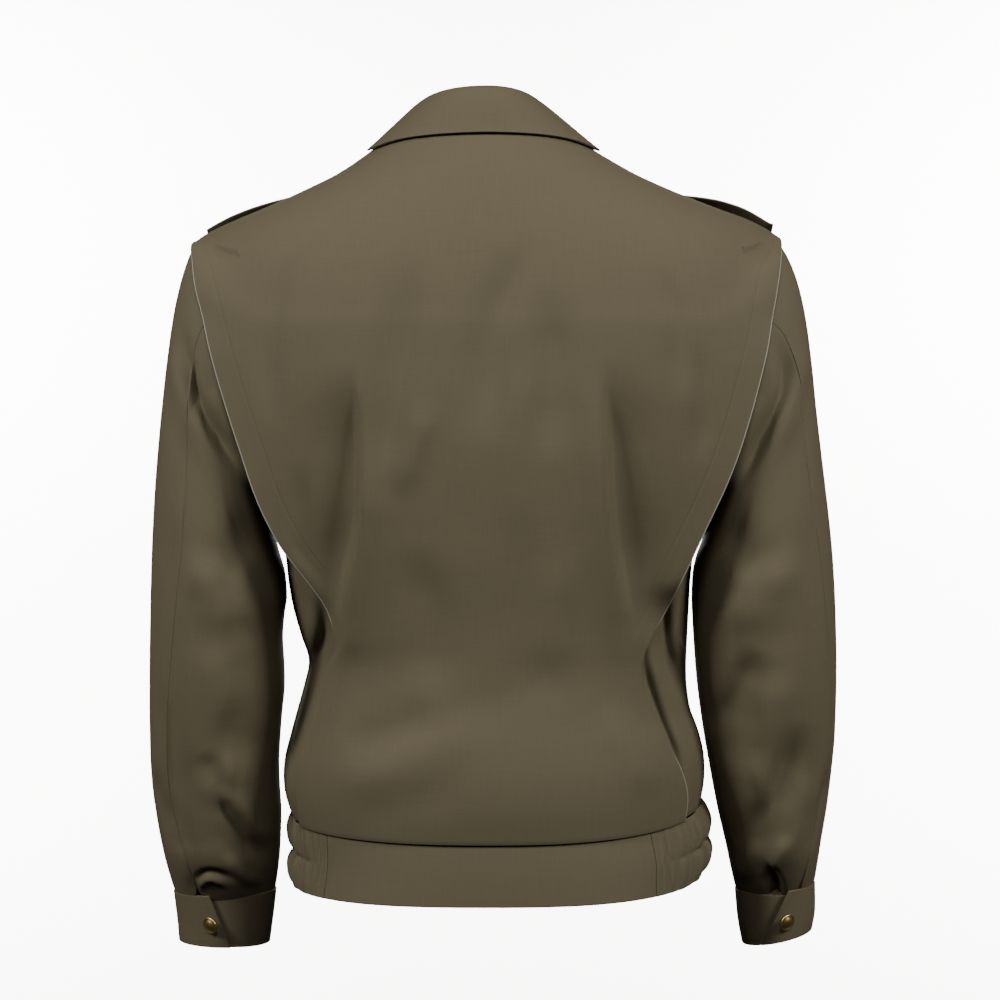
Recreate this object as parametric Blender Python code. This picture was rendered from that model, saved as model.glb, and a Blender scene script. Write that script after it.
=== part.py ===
"""A waist-length field jacket in wool serge, filled out as it is worn, with nobody in it.

The front faces -Y and the wearer's left is +X. The origin is the middle of the neck opening, level with the
shoulder seams at the neck, where a wearer's shoulders hold the jacket up. Each cut piece of cloth is a wall of
its own: a grid laid on a curved surface and given its thickness by a Solidify modifier.
"""

import math

import bmesh
import bpy
import numpy as np
from mathutils import Matrix, Vector

# Every size is in millimetres, and the meshes are made in metres.
MM = 0.001

# The cloth: two plies of serge, pressed, with a hair's breadth between pieces at a seam.
WALL = 1.6
SEAM_GAP = 0.5
LAP = WALL + SEAM_GAP
BAND_GAP = 0.9

# How finely the pieces are cut into quads.
ARMHOLE_STEPS = 12
LOW_ROWS = 12
SHOULDER_ROWS = 6
BACK_COLUMNS = 11
FRONT_COLUMNS = 8
SIDE_COLUMNS = 5
SLEEVE_ROWS = 18
SLEEVE_COLUMNS = 12

# Rings of the torso, from the waistband seam up to the neck seam. left and right are the side points as the
# wearer has them, back and front the centre points, and square is 2 for an ellipse and more for a fuller ring.
RING_COLUMNS = (
    "left_x", "right_x", "left_z", "right_z", "side_y",
    "back_y", "back_z", "front_y", "front_z", "back_square", "front_square",
)
RINGS = {
    "band_seam": (162.0, 172.0, -543, -532, -10, 100, -557, -120, -552, 2.5, 2.3),
    "blouse": (169.5, 176.0, -512, -505, -10, 104, -520, -125, -516, 2.35, 2.3),
    "blouse_top": (162.5, 170.0, -476, -474, -10, 101, -484, -124, -480, 2.35, 2.3),
    "waist_low": (155.5, 162.0, -450, -450, -10, 97, -455, -123, -452, 2.35, 2.3),
    "waist": (148.5, 160.5, -418, -420, -10, 95, -421, -123, -419, 2.4, 2.3),
    "waist_top": (158.5, 162.0, -385, -386, -9, 97, -387, -125, -387, 2.45, 2.3),
    "ribs": (164.6, 163.6, -352, -352, -7, 101, -354, -128, -357, 2.5, 2.3),
    "below_arm": (167.0, 166.0, -328, -328, -5, 104, -331, -130, -336, 2.6, 2.35),
    "underarm": (171.0, 169.5, -306, -306, -3, 106, -310, -131, -317, 2.75, 2.4),
    "chest": (182.0, 180.0, -276, -276, -2, 109, -281, -133, -291, 2.9, 2.5),
    "blade": (196.0, 194.0, -232, -232, 0, 113, -240, -134, -256, 3.0, 2.6),
    "mid_armhole": (209.0, 207.0, -184, -184, 0, 115.5, -198, -132, -224, 3.05, 2.6),
    "high_armhole": (220.0, 217.0, -136, -136, 0, 115.5, -156, -128, -196, 2.95, 2.55),
    "cap": (228.5, 225.0, -98, -98, 0, 113.5, -124, -123, -174, 2.75, 2.5),
    "shoulder_tip": (234.0, 230.0, -73, -70, 0, 110, -98, -118, -158, 2.55, 2.45),
    "shoulder_6": (213.0, 210.0, -64.0, -61.0, 0, 106, -77, -112, -144, 2.4, 2.35),
    "shoulder_5": (190.0, 189.0, -55.0, -53.5, 0, 100.5, -58, -105, -131, 2.3, 2.3),
    "shoulder_4": (165.0, 164.0, -45, -45.5, 0, 94, -41, -97, -119, 2.25, 2.25),
    "shoulder_3": (140.0, 136.0, -34.5, -35.5, 0, 87, -26, -88, -108, 2.15, 2.2),
    "shoulder_2": (116.0, 110.0, -20.5, -21.5, 1, 79.5, -11, -78, -98, 2.1, 2.15),
    "shoulder_1": (99.0, 88.0, -8.5, -9.0, 1, 72, 1, -69, -90, 2.1, 2.1),
    "neck": (87.0, 72.0, 1, 1, 2, 65, 10, -61, -83, 2.1, 2.1),
}
# A ring's plane droops towards the centre back and front along a curve of this power.
BACK_DROOP = 1.3
FRONT_DROOP = 1.7

# The armhole reaches this far behind and before the side seam's line.
ARMHOLE_BACK = 70.0
ARMHOLE_FRONT = 74.0
ARMHOLE_FULLNESS = 0.85

# The side edge of the back panel, from the shoulder tip down the free wing to the waist, where the wing ends
# and the edge becomes the lapped seam. stand_y is how far behind the origin the wing's edge stands.
BACK_EDGE_COLUMNS = ("z", "left_x", "right_x", "stand_y")
BACK_EDGE = (
    (-543, 150.5, 154.5, 0),
    (-520, 153.0, 156.5, 0),
    (-495, 152.0, 148.0, 0),
    (-469, 142.5, 133.5, 0),
    (-443, 136.0, 123.5, 0),
    (-415, 128.5, 119.0, 0),
    (-389, 121.5, 131.5, 0),
    (-375, 127.5, 139.0, 60),
    (-349, 146.0, 153.0, 76),
    (-325, 164.5, 164.0, 80),
    (-297, 179.5, 177.0, 82),
    (-272, 189.5, 188.5, 83),
    (-247, 197.5, 198.0, 83),
    (-215, 208.0, 207.8, 81),
    (-165, 222.5, 220.5, 75),
    (-134, 229.3, 225.5, 66),
    (-110, 235.0, 229.5, 58),
    (-90, 237.5, 232.5, 43),
    (-77, 239.5, 235.0, 22),
    (-70, 238.5, 234.0, -7),
)
SHOULDER_LAP_Y = -7.0
EDGE_STRIP = 9.0
EDGE_PASSES = 30
FLARE_START = 0.62
# The back's edge is lifted over the shoulder's ridge, less and less as the levels leave it.
RIDGE_LIFT = 2.0
RIDGE_HOLD = 1.2
RIDGE_REACH = 2.5
RIDGE_LEAST = 0.35
# The side panel's inner edge lies this far in under the back panel's edge.
PLEAT_DEPTH = 30.0
SEAM_LAP = 12.0
PLEAT_START_Z = -420.0
PLEAT_FULL_Z = -340.0
LEAST_INNER_X = 60.0
LEAST_SIDE_TURN = 8.0
UNDERLAY = 3.5
TIP_GAP = 1.0

# Large folds of the back, as soft ridges (height above 0) and troughs between two points seen from behind.
# They fade out between these depths, where the cloth turns round to the side.
FOLD_NONE_Y = 25.0
FOLD_FULL_Y = 65.0
FOLD_COLUMNS = ("x0", "z0", "x1", "z1", "width", "height")
BACK_FOLDS = (
    (98, -190, 108, -300, 15, 4.5),
    (108, -300, 122, -400, 14, 5.5),
    (122, -400, 150, -505, 14, 3.0),
    (122, -215, 134, -375, 14, -5.0),
    (-86, -200, -95, -290, 13, 4.0),
    (-95, -290, -118, -405, 14, 4.5),
    (-106, -235, -124, -365, 15, -5.5),
    (-30, -130, -45, -300, 24, -3.0),
    (10, -110, 0, -420, 24, 2.5),
    (66, -140, 82, -330, 18, -3.0),
    (145, -508, 52, -452, 16, 4.0),
    (128, -526, -20, -478, 14, -3.5),
    (-140, -505, -60, -430, 20, 2.5),
)

# Each sleeve's rings, from the armhole to the cuff seam: the outer and inner points seen from behind, then
# half the depth, the depth of the middle, and where the back seam lies round from the outer point.
SLEEVE_COLUMNS_NAMES = ("outer_x", "outer_z", "inner_x", "inner_z", "half_depth", "middle_y", "back_seam")
LEFT_SLEEVE = (
    (234.8, -73.3, 173.5, -306, 74, -1, 60),
    (243.5, -84, 177.0, -307, 74, -1, 60),
    (250.5, -103, 178.5, -309.5, 73, -1, 61),
    (257.5, -132, 178.5, -314.5, 72, -2, 63),
    (263.0, -170, 176.5, -322, 71, -2, 65),
    (268.5, -219, 173.5, -333, 71, -3, 66),
    (273.5, -276, 170.5, -346, 71, -4, 66),
    (276.5, -330, 170.8, -366, 71, -6, 64),
    (278.0, -382, 171.5, -396, 70, -8, 60),
    (279.0, -430, 170.0, -434, 69, -11, 55),
    (279.5, -472, 173.5, -474, 66, -15, 52),
    (279.0, -510, 175.5, -510, 63, -20, 52),
    (275.5, -545, 174.0, -545, 60, -25, 54),
    (269.5, -580, 175.5, -578, 57, -30, 62),
    (262.8, -610, 177.5, -609, 46, -34, 68),
)
RIGHT_SLEEVE = (
    (230.8, -70.3, 172.0, -306, 74, -1, 60),
    (240.5, -84, 175.5, -307, 74, -1, 60),
    (249.0, -103, 177.0, -309.5, 73, -1, 58),
    (256.5, -132, 177.0, -314.5, 72, -2, 55),
    (262.0, -170, 175.0, -322, 71, -2, 52),
    (267.0, -219, 172.0, -333, 71, -3, 50),
    (274.0, -276, 169.5, -346, 71, -4, 48),
    (280.0, -330, 169.0, -366, 71, -6, 44),
    (283.0, -382, 169.5, -396, 70, -8, 40),
    (284.0, -430, 171.0, -434, 69, -11, 36),
    (283.5, -472, 176.5, -474, 66, -15, 34),
    (281.0, -510, 183.0, -510, 63, -20, 34),
    (277.0, -545, 190.0, -545, 60, -25, 38),
    (272.5, -575, 198.0, -578, 57, -30, 50),
    (270.0, -603, 203.0, -609, 46, -34, 62),
)
SLEEVE_SQUARE = 2.15
FRONT_SLEEVE_SEAM = -120.0
SLEEVE_GAP = 1.0
# The sleeve leaves the armhole's own outline over this many rings.
ARMHOLE_BLEND = 3.0
# The back seam is left open above the cuff, as a vent that gapes this far.
VENT_RINGS = 1.3
VENT_GAPE = 7.0

SLEEVE_FOLD_COLUMNS = ("angle0", "z0", "angle1", "z1", "width", "height")
SLEEVE_FOLDS = (
    (30, -150, 100, -250, 16, -3.5),
    (70, -330, 150, -400, 18, -5.0),
    (150, -300, 95, -350, 16, 4.0),
    (-60, -380, -150, -340, 18, -5.0),
    (110, -455, 165, -500, 16, 3.5),
    (100, -560, 130, -480, 14, -5.0),
    (25, -500, 60, -570, 13, 3.0),
    (-40, -520, -110, -565, 15, -4.0),
)

# Cuffs: a band that laps over itself at the back of the wrist, where one button closes it.
CUFF_TABLE_COLUMNS = ("outer_x", "outer_z", "inner_x", "inner_z", "half_depth", "middle_y")
LEFT_CUFF = (
    (262.5, -610.8, 178.5, -609.8, 43.5, -34),
    (260.0, -634, 181.5, -634, 42, -37),
    (258.5, -653, 184.5, -655, 41, -39),
)
RIGHT_CUFF = (
    (269.5, -603.8, 204.5, -609.8, 43.5, -34),
    (270.0, -625, 207.0, -635, 42, -37),
    (267.5, -643, 211.0, -656, 41, -39),
)
CUFF_UNDERLAP = 38.0
CUFF_EDGE_TOP = 78.0
CUFF_EDGE_BOTTOM = {"left": 104.0, "right": 124.0}
# The cuff's start lies this far under its own end, and settles outwards over the angles that follow.
CUFF_UNDER = 3.1
CUFF_TUCK = 40.0
CUFF_SETTLE = 70.0
CUFF_COLUMNS = 26
CUFF_ROWS = 3

# Waistband: plain at the back and front, and drawn up by elastic in two channels at each side.
BAND_MIDDLE = (159.5, 176.5, -571, -560, -10, 102, -581.5, -121, -577.5, 2.6, 2.35)
HEM_RING = (161.0, 174.0, -597, -585, -10, 103, -606, -122, -603, 2.75, 2.4)
BAND_PLAIN_BACK = {"left": 48.0, "right": 43.5}
BAND_PLAIN_FRONT = 137.0
GATHERS = 9
GATHER_POINTS = 4
GATHER_HEIGHT = 1.5
CHANNEL_PUFF = 5.0
BAND_ROWS = 4
BAND_BACK_COLUMNS = 12
BAND_FRONT_COLUMNS = 6
GATHER_ENDS = 0.1
CHANNEL_EVEN = 0.75

# Collar: one folded piece. The stand rises from the neck seam to the roll, and the fall drops outside it.
STAND_BACK = (0.0, 58.0, 40.5)
STAND_SIDE = (50.0, -1.0, 27.0)
NECK_SHIFT = 8.5
STAND_FRONT = (7.0, -57.0, -64.0)
STAND_CLEAR = 2.6
ROLL_RADIUS = 2.6
ROLL_ROUND = 0.92
ROLL_FALL = 1.15
ROLL_TURNS = (0.0, 0.9, 1.8, 2.5)
FALL_SHARES = (0.3, 0.55, 0.8, 1.0)
FALL_SWELL = 4.2
FALL_LIFT_BACK = 7.4
FALL_LIFT_SIDE = 5.0
FALL_LIFT_FRONT = 3.4
COLLAR_COLUMNS = 11

# Shoulder strap: sewn in at the shoulder tip, and buttoned near the collar. It lies before the shoulder's ridge.
STRAP_OUTER_X = 233.0
STRAP_INNER_X = 112.0
STRAP_WIDTH = 46.0
STRAP_INNER_WIDTH = 38.0
STRAP_POINT = 12.0
STRAP_Y = -29.0
STRAP_LIFT = 2.2
# The strap arches clear of the shoulder most near its outer end, and more along its rear edge.
STRAP_ARCH = {"left": 9.0, "right": 12.0}
ARCH_START = 0.17
ARCH_LENGTH = 0.98
ARCH_EARLY = 0.85
ARCH_LEAN = 0.38
STRAP_ROWS = 12
STRAP_COLUMNS = 6
STRAP_BUTTON_X = 128.0
# The shoulder falls away before its ridge like a share, at the tip and by the neck, of a power of the distance.
SHOULDER_FALL = (0.029, 0.037)
SHOULDER_FALL_POWER = 1.7

# Metal buttons: a domed shell with a rolled rim on a flat back.
BUTTON_RADIUS = 7.2
BUTTON_RIM = 1.5
BUTTON_DOME = 3.4
BUTTON_CLEAR = 0.5
CUFF_BUTTON = {"left": (1.0, 80.0), "right": (1.1, 84.0)}

# Zip fastener down the centre front.
FRONT_EDGE = 6.0
TAPE_WIDTH = 12.0
TAPE_START = 0.6
TAPE_THICK = 1.0
TAPE_DEPTH = -2.1
CHAIN_WIDTH = 5.0
CHAIN_THICK = 2.0
CHAIN_DEPTH = -0.1

# The slider stands at the closed top of the zip. Its bridge holds the pull, which turns about a bar across it.
SLIDER_DROP = 0.8
SLIDER_CLEAR = 0.35
SLIDER_WIDTH = 9.0
SLIDER_LENGTH = 11.0
SLIDER_THICK = 1.6
BRIDGE_WIDTH = 2.4
BRIDGE_LENGTH = 7.6
BRIDGE_HEIGHT = 3.1
BRIDGE_WALL = 1.0
PULL_LENGTH = 26.0
PULL_WIDTH = 7.0
PULL_THICK = 1.2
PULL_EYE = 3.6
PULL_EYE_LENGTH = 4.2
PULL_AXIS_HEIGHT = SLIDER_THICK + (BRIDGE_HEIGHT - BRIDGE_WALL) / 2

OLIVE = (0.145, 0.125, 0.085, 1.0)
TAPE_COLOUR = (0.10, 0.09, 0.06, 1.0)
BRASS = (0.80, 0.62, 0.22, 1.0)
ZIP_METAL = (0.42, 0.34, 0.18, 1.0)


def curve_through(knots, values, at):
    """A smooth curve through the values that never swings past them (a monotone cubic)."""
    knots, values = np.asarray(knots, float), np.asarray(values, float)
    step = np.diff(knots)
    slope = np.diff(values) / step
    tangent = np.concatenate([[slope[0]], np.zeros(len(slope) - 1), [slope[-1]]])
    for i in range(1, len(slope)):
        if slope[i - 1] * slope[i] > 0:
            before = 2 * step[i] + step[i - 1]
            after = step[i] + 2 * step[i - 1]
            tangent[i] = (before + after) / (before / slope[i - 1] + after / slope[i])
    at = np.clip(np.asarray(at, float), knots[0], knots[-1])
    i = np.clip(np.searchsorted(knots, at, side="right") - 1, 0, len(step) - 1)
    t = (at - knots[i]) / step[i]
    start = (1 + 2 * t) * (1 - t) ** 2 * values[i] + t * (1 - t) ** 2 * step[i] * tangent[i]
    end = t * t * (3 - 2 * t) * values[i + 1] - t * t * (1 - t) * step[i] * tangent[i + 1]
    return start + end


class Table:
    """Rows with named columns, read at any place between rows. The key is the row's number or its first column."""

    def __init__(self, columns, rows, keyed=False):
        self.columns = columns
        self.values = np.array(list(rows), float)
        self.keys = self.values[:, 0] if keyed else np.arange(len(self.values), dtype=float)

    def __call__(self, column, at):
        return curve_through(self.keys, self.values[:, self.columns.index(column)], at)


TORSO = Table(RING_COLUMNS, RINGS.values())
BAND = Table(RING_COLUMNS, (HEM_RING, BAND_MIDDLE, RINGS["band_seam"]))
BAND_TOP = 2.0
EDGE = Table(BACK_EDGE_COLUMNS, BACK_EDGE, keyed=True)
LEVEL = {name: float(i) for i, name in enumerate(RINGS)}


def unit(v):
    return v / np.maximum(np.linalg.norm(v, axis=-1, keepdims=True), 1e-12)


def ring_point(rings, level, angle):
    """A point of a ring, by the angle round from the centre back, positive towards the wearer's left."""
    level, angle = np.broadcast_arrays(np.asarray(level, float), np.radians(np.asarray(angle, float)))
    sine, cosine = np.sin(angle), np.cos(angle)
    behind, left = cosine >= 0, sine >= 0

    def either(test, first, second):
        return np.where(test, rings(first, level), rings(second, level))

    square = either(behind, "back_square", "front_square")
    reach = (np.abs(sine) ** square + np.abs(cosine) ** square) ** (-1 / square)
    side_y = rings("side_y", level)
    side_z = either(left, "left_z", "right_z")
    towards = np.abs(reach * cosine)
    droop = np.where(behind, towards**BACK_DROOP, towards**FRONT_DROOP)
    x = either(left, "left_x", "right_x") * reach * sine
    y = side_y + (either(behind, "back_y", "front_y") - side_y) * towards
    z = side_z + (either(behind, "back_z", "front_z") - side_z) * droop
    return np.stack([x, y, z], axis=-1)


def fold_height(rows, across, along):
    """The height of a table of folds at points given by two coordinates."""
    total = np.zeros(np.broadcast(across, along).shape)
    for a0, b0, a1, b1, width, height in rows:
        length = math.hypot(a1 - a0, b1 - b0)
        da, db = (a1 - a0) / length, (b1 - b0) / length
        t = ((across - a0) * da + (along - b0) * db) / length
        gap = (across - a0) * db - (along - b0) * da
        past = np.maximum(np.abs(t - 0.5) - 0.5, 0) * length
        fade = np.clip(1.25 - 1.6 * np.abs(t - 0.5), 0, 1)
        total += height * fade * np.exp(-(gap**2 + past**2) / width**2)
    return total


def surface(rings, level, angle, lift=0.0):
    """A point on the torso or the waistband, raised off it by lift along the outward normal."""
    step_level, step_angle = 0.02, 0.5
    top = len(rings.keys) - 1
    level = np.asarray(level, float)
    point = ring_point(rings, level, angle)
    low = ring_point(rings, np.maximum(level - step_level, 0), angle)
    high = ring_point(rings, np.minimum(level + step_level, top), angle)
    along = ring_point(rings, level, angle + step_angle) - ring_point(rings, level, angle - step_angle)
    normal = unit(np.cross(high - low, along))
    return point + normal * (np.zeros(point.shape[:-1]) + lift)[..., None]


def angle_at_y(level, y):
    """The angle at which the torso's ring passes a depth y on the wearer's left."""
    side_y = TORSO("side_y", level)
    behind = y >= side_y
    reach = np.where(behind, TORSO("back_y", level), TORSO("front_y", level)) - side_y
    square = np.where(behind, TORSO("back_square", level), TORSO("front_square", level))
    share = np.clip((y - side_y) / reach, 0, 1)
    across = (1 - share**square) ** (1 / square)
    return np.degrees(np.arctan2(across, np.where(behind, share, -share)))


def angle_at_x(level, x, side):
    """The angle, behind the wearer, at which the torso's ring passes a width x."""
    square = TORSO("back_square", level)
    share = np.clip(x / TORSO(f"{side}_x", level), 0, 1)
    return np.degrees(np.arctan2(share, (1 - share**square) ** (1 / square)))


def level_at_side_z(z):
    """The level whose side point on the wearer's left is at height z."""
    return np.interp(z, TORSO.values[:, RING_COLUMNS.index("left_z")], TORSO.keys)


def armhole_levels():
    """Levels from the underarm to the shoulder tip, close together at both ends, and how open the hole is there."""
    low, high = RINGS["underarm"][2], RINGS["shoulder_tip"][2]
    turn = np.linspace(math.pi, 0, ARMHOLE_STEPS + 1)
    heights = (low + high) / 2 + (high - low) / 2 * np.cos(turn)
    return level_at_side_z(heights), np.sin(turn) ** ARMHOLE_FULLNESS


ARM_LEVELS, ARM_OPEN = armhole_levels()
LOW_LEVELS = np.linspace(0.0, LEVEL["underarm"], LOW_ROWS + 1)[:-1]
SHOULDER_LEVELS = np.linspace(LEVEL["shoulder_tip"], LEVEL["neck"], SHOULDER_ROWS + 1)[1:]
BODY_LEVELS = np.concatenate([LOW_LEVELS, ARM_LEVELS, SHOULDER_LEVELS])


def armhole_angle(level, depth):
    """Where the armhole's edge cuts the ring at this level: 90 degrees above and below the hole."""
    openness = np.interp(level, ARM_LEVELS, ARM_OPEN, left=0.0, right=0.0)
    return angle_at_y(level, TORSO("side_y", level) + depth * openness)


def evenly(points, count, start_gap=0.0, end_gap=0.0):
    """The polyline's points spaced evenly along its length, held back from its ends by the gaps."""
    steps = np.linalg.norm(np.diff(points, axis=0), axis=1)
    run = np.concatenate([[0], np.cumsum(steps)])
    at = np.linspace(start_gap, run[-1] - end_gap, count)
    return np.stack([np.interp(at, run, points[:, k]) for k in range(3)], axis=1)


def row_on_torso(level, start, end, columns, lift=0.0, gaps=(SEAM_GAP / 2, SEAM_GAP / 2)):
    """Points of one level between two angles, evenly spaced."""
    angles = np.linspace(start, end, 61)
    return evenly(surface(TORSO, np.full(61, level), angles, lift), columns + 1, *gaps)


# Blender objects

COLLECTION = bpy.context.scene.collection


def material(name, colour, roughness, metallic=0.0):
    made = bpy.data.materials.new(name)
    made.use_nodes = True
    shader = made.node_tree.nodes["Principled BSDF"]
    shader.inputs["Base Color"].default_value = colour
    shader.inputs["Roughness"].default_value = roughness
    shader.inputs["Metallic"].default_value = metallic
    return made


def add_object(name, mesh, look):
    obj = bpy.data.objects.new(name, mesh)
    COLLECTION.objects.link(obj)
    obj.data.materials.append(look)
    return obj


def grid_mesh(name, points):
    """A grid whose corners are moved to the given points, row by row, in millimetres."""
    rows, columns = len(points) - 1, len(points[0]) - 1
    mesh = bpy.data.meshes.new(name)
    bm = bmesh.new()
    bmesh.ops.create_grid(bm, x_segments=columns, y_segments=rows, size=1.0)
    for vert in bm.verts:
        i = round((vert.co.y + 1) / 2 * rows)
        j = round((vert.co.x + 1) / 2 * columns)
        vert.co = Vector(points[i][j]) * MM
    bm.to_mesh(mesh)
    bm.free()
    mesh.shade_smooth()
    return mesh


def cloth(name, points, look, wall=WALL):
    """A wall of cloth centred on a grid of points."""
    obj = add_object(name, grid_mesh(name, points), look)
    solidify = obj.modifiers.new("Wall", "SOLIDIFY")
    solidify.thickness = wall * MM
    solidify.offset = 0.0
    solidify.use_even_offset = False
    return obj


def side_sign(side):
    return 1.0 if side == "left" else -1.0


# Torso panels

def front_panel(side, look):
    """A front, from the side seam, armhole and shoulder seam to the edge beside the zip."""
    sign = side_sign(side)
    rows = []
    for level in BODY_LEVELS:
        outer = sign * armhole_angle(level, -ARMHOLE_FRONT)
        edge = math.degrees(math.asin(FRONT_EDGE / float(TORSO(f"{side}_x", level))))
        rows.append(row_on_torso(level, outer, sign * (180 - edge), FRONT_COLUMNS, gaps=(SEAM_GAP / 2, 0)))
    rows[0][:, 2] += BAND_GAP / 2
    return cloth(f"front_{side}", rows, look)


def back_edge_point(level, side):
    """(angle on the torso, move to the edge) for the edge of the back panel at a level."""
    sign = side_sign(side)
    if level >= LEVEL["shoulder_tip"] - 1e-6:
        return float(angle_at_y(level, SHOULDER_LAP_Y)), np.zeros(3)
    half, side_y = float(TORSO(f"{side}_x", level)), float(TORSO("side_y", level))
    depth = float(TORSO("back_y", level)) - side_y
    angle = 60.0
    for _ in range(EDGE_PASSES):
        z = ring_point(TORSO, level, sign * angle)[2]
        x, y = float(EDGE(f"{side}_x", z)), float(EDGE("stand_y", z))
        seam = float(angle_at_x(level, x, side))
        on_torso = y <= ring_point(TORSO, level, seam)[1] + LAP
        aim = seam if on_torso else math.degrees(math.atan2(x / half, (y - side_y) / depth))
        angle += (aim - angle) / 2
    if on_torso:
        return angle, np.zeros(3)
    point = surface(TORSO, level, sign * angle, LAP)
    return angle, np.array([sign * x - point[0], y - point[1], 0.0])


def back_row(level, side):
    """Half a row of the back panel, from the centre back to its side edge, with a narrow last strip."""
    sign = side_sign(side)
    angle, flare = back_edge_point(level, side)
    angles = np.linspace(0, angle, 121)
    t = np.clip((angles / angle - FLARE_START) / (1 - FLARE_START), 0, 1)
    plain = ring_point(TORSO, np.full(121, level), sign * angles)
    faded = np.clip((plain[:, 1] - FOLD_NONE_Y) / (FOLD_FULL_Y - FOLD_NONE_Y), 0, 1)
    folds = fold_height(BACK_FOLDS, plain[:, 0], plain[:, 2]) * faded
    hold = RIDGE_HOLD - abs(level - LEVEL["shoulder_tip"]) / RIDGE_REACH
    at_ridge = RIDGE_LIFT * np.clip(hold, RIDGE_LEAST, 1) * t
    at_ridge = at_ridge if level > LEVEL["high_armhole"] else 0.0
    lift = LAP + folds + at_ridge
    points = surface(TORSO, np.full(121, level), sign * angles, lift) + (t**2)[:, None] * flare
    return np.concatenate([evenly(points, BACK_COLUMNS, end_gap=EDGE_STRIP), points[-1:]])


def back_panel(look):
    """The back, whose outer edges are free wings from the shoulder to the waist."""
    rows = []
    for level in BODY_LEVELS:
        left, right = back_row(level, "left"), back_row(level, "right")
        rows.append(np.concatenate([left[::-1], right[1:]]))
    rows[0][:, 2] += BAND_GAP / 2
    return cloth("back", rows, look)


def side_panel(side, look):
    """The side panel: under the back panel's wing at its inner edge, then round to the armhole and side seam."""
    sign = side_sign(side)
    top = LEVEL["shoulder_tip"] + 0.1
    levels = [level for level in BODY_LEVELS if level < top]
    rows = []
    for level in levels:
        outer = float(armhole_angle(level, ARMHOLE_BACK))
        edge_angle = back_edge_point(level, side)[0]
        edge = surface(TORSO, level, edge_angle, 0.0)[0]
        under = np.interp(float(TORSO("back_z", level)), (PLEAT_START_Z, PLEAT_FULL_Z), (SEAM_LAP, PLEAT_DEPTH))
        inner = float(angle_at_x(level, max(edge - under, LEAST_INNER_X), side))
        inner = min(inner, outer - LEAST_SIDE_TURN)
        angles = np.linspace(outer, inner, 61)
        sink = np.clip((outer - angles) / (outer - min(edge_angle, outer - LEAST_SIDE_TURN / 2)), 0, 1) ** 2
        row = surface(TORSO, np.full(61, level), sign * angles, -UNDERLAY * sink)
        at_tip = np.clip(level - LEVEL["cap"], 0, 1)
        rows.append(evenly(row, SIDE_COLUMNS + 1, SEAM_GAP / 2 + TIP_GAP * at_tip, 0))
    rows[0][:, 2] += BAND_GAP / 2
    return cloth(f"side_{side}", rows, look)


# Sleeves

def table_ring(table, station, angle, square=SLEEVE_SQUARE):
    """A point of a sleeve's or cuff's ring, by the angle round from its outer point towards the back."""
    station, turn = np.broadcast_arrays(np.asarray(station, float), np.radians(np.asarray(angle, float)))
    sine, cosine = np.sin(turn), np.cos(turn)
    reach = (np.abs(sine) ** square + np.abs(cosine) ** square) ** (-1 / square)
    outer_x, outer_z = table("outer_x", station), table("outer_z", station)
    inner_x, inner_z = table("inner_x", station), table("inner_z", station)
    across = reach * cosine
    x = (outer_x + inner_x) / 2 + across * (outer_x - inner_x) / 2
    z = (outer_z + inner_z) / 2 + across * (outer_z - inner_z) / 2
    y = table("middle_y", station) + reach * sine * table("half_depth", station)
    return np.stack([x, y, z], axis=-1)


def armhole_point(angle, side):
    """The armhole's edge on the torso, by the sleeve's angle: 0 is the shoulder tip and 90 the back."""
    angle = (angle + 180) % 360 - 180
    share = abs(angle) / 180
    low, high = RINGS["underarm"][2], RINGS["shoulder_tip"][2]
    z = (low + high) / 2 + (high - low) / 2 * math.cos(math.pi * share)
    level = float(level_at_side_z(z))
    depth = ARMHOLE_BACK if angle > 0 else -ARMHOLE_FRONT
    y = float(TORSO("side_y", level)) + depth * math.sin(math.pi * share) ** ARMHOLE_FULLNESS
    return surface(TORSO, level, side_sign(side) * float(angle_at_y(level, y)), 0.0)


def armhole_correction(table, angle, side):
    """The move from the sleeve table's first ring to the armhole's edge, standing clear of the torso's wall."""
    clear = SEAM_GAP * 1.8 + WALL * 0.5 * (0.35 + 0.65 * math.sin(math.radians(min(abs(angle), 180)) / 2) ** 2)
    edge = armhole_point(angle, side)
    edge[0] += side_sign(side) * clear
    first = table_ring(table, 0.0, angle)
    first[0] *= side_sign(side)
    return edge - first


def sleeve_surface(table, side, station, angle, lift=0.0):
    """A point on a sleeve, with its folds, raised by lift off its ring."""
    angle = float(angle)
    point = table_ring(table, station, angle)
    nearby = table_ring(table, station, angle + 1.0) - table_ring(table, station, angle - 1.0)
    last = len(table.keys) - 1
    down = table_ring(table, min(station + 0.05, last), angle) - table_ring(table, max(station - 0.05, 0), angle)
    normal = unit(np.cross(nearby, down))
    turned = (angle + 180) % 360 - 180
    fade = min(1.0, max(0.0, station - 1.5) / 2) * min(1.0, (last - station) / 1.5)
    folds = fold_height(SLEEVE_FOLDS, np.array(turned * 1.1), np.array(point[2])) * fade
    point = point + normal * (lift + float(folds))
    point[0] *= side_sign(side)
    blend = max(0.0, 1 - station / ARMHOLE_BLEND) ** 2
    if blend > 0:
        point = point + blend * armhole_correction(table, turned, side)
    return point


def vent_gape(station, last):
    """Half the width of the open vent at the back seam, which grows from its top to the cuff."""
    t = np.clip((station - (last - VENT_RINGS)) / VENT_RINGS, 0, 1)
    return VENT_GAPE / 2 * math.sin(math.pi * min(t, 0.75))


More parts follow.
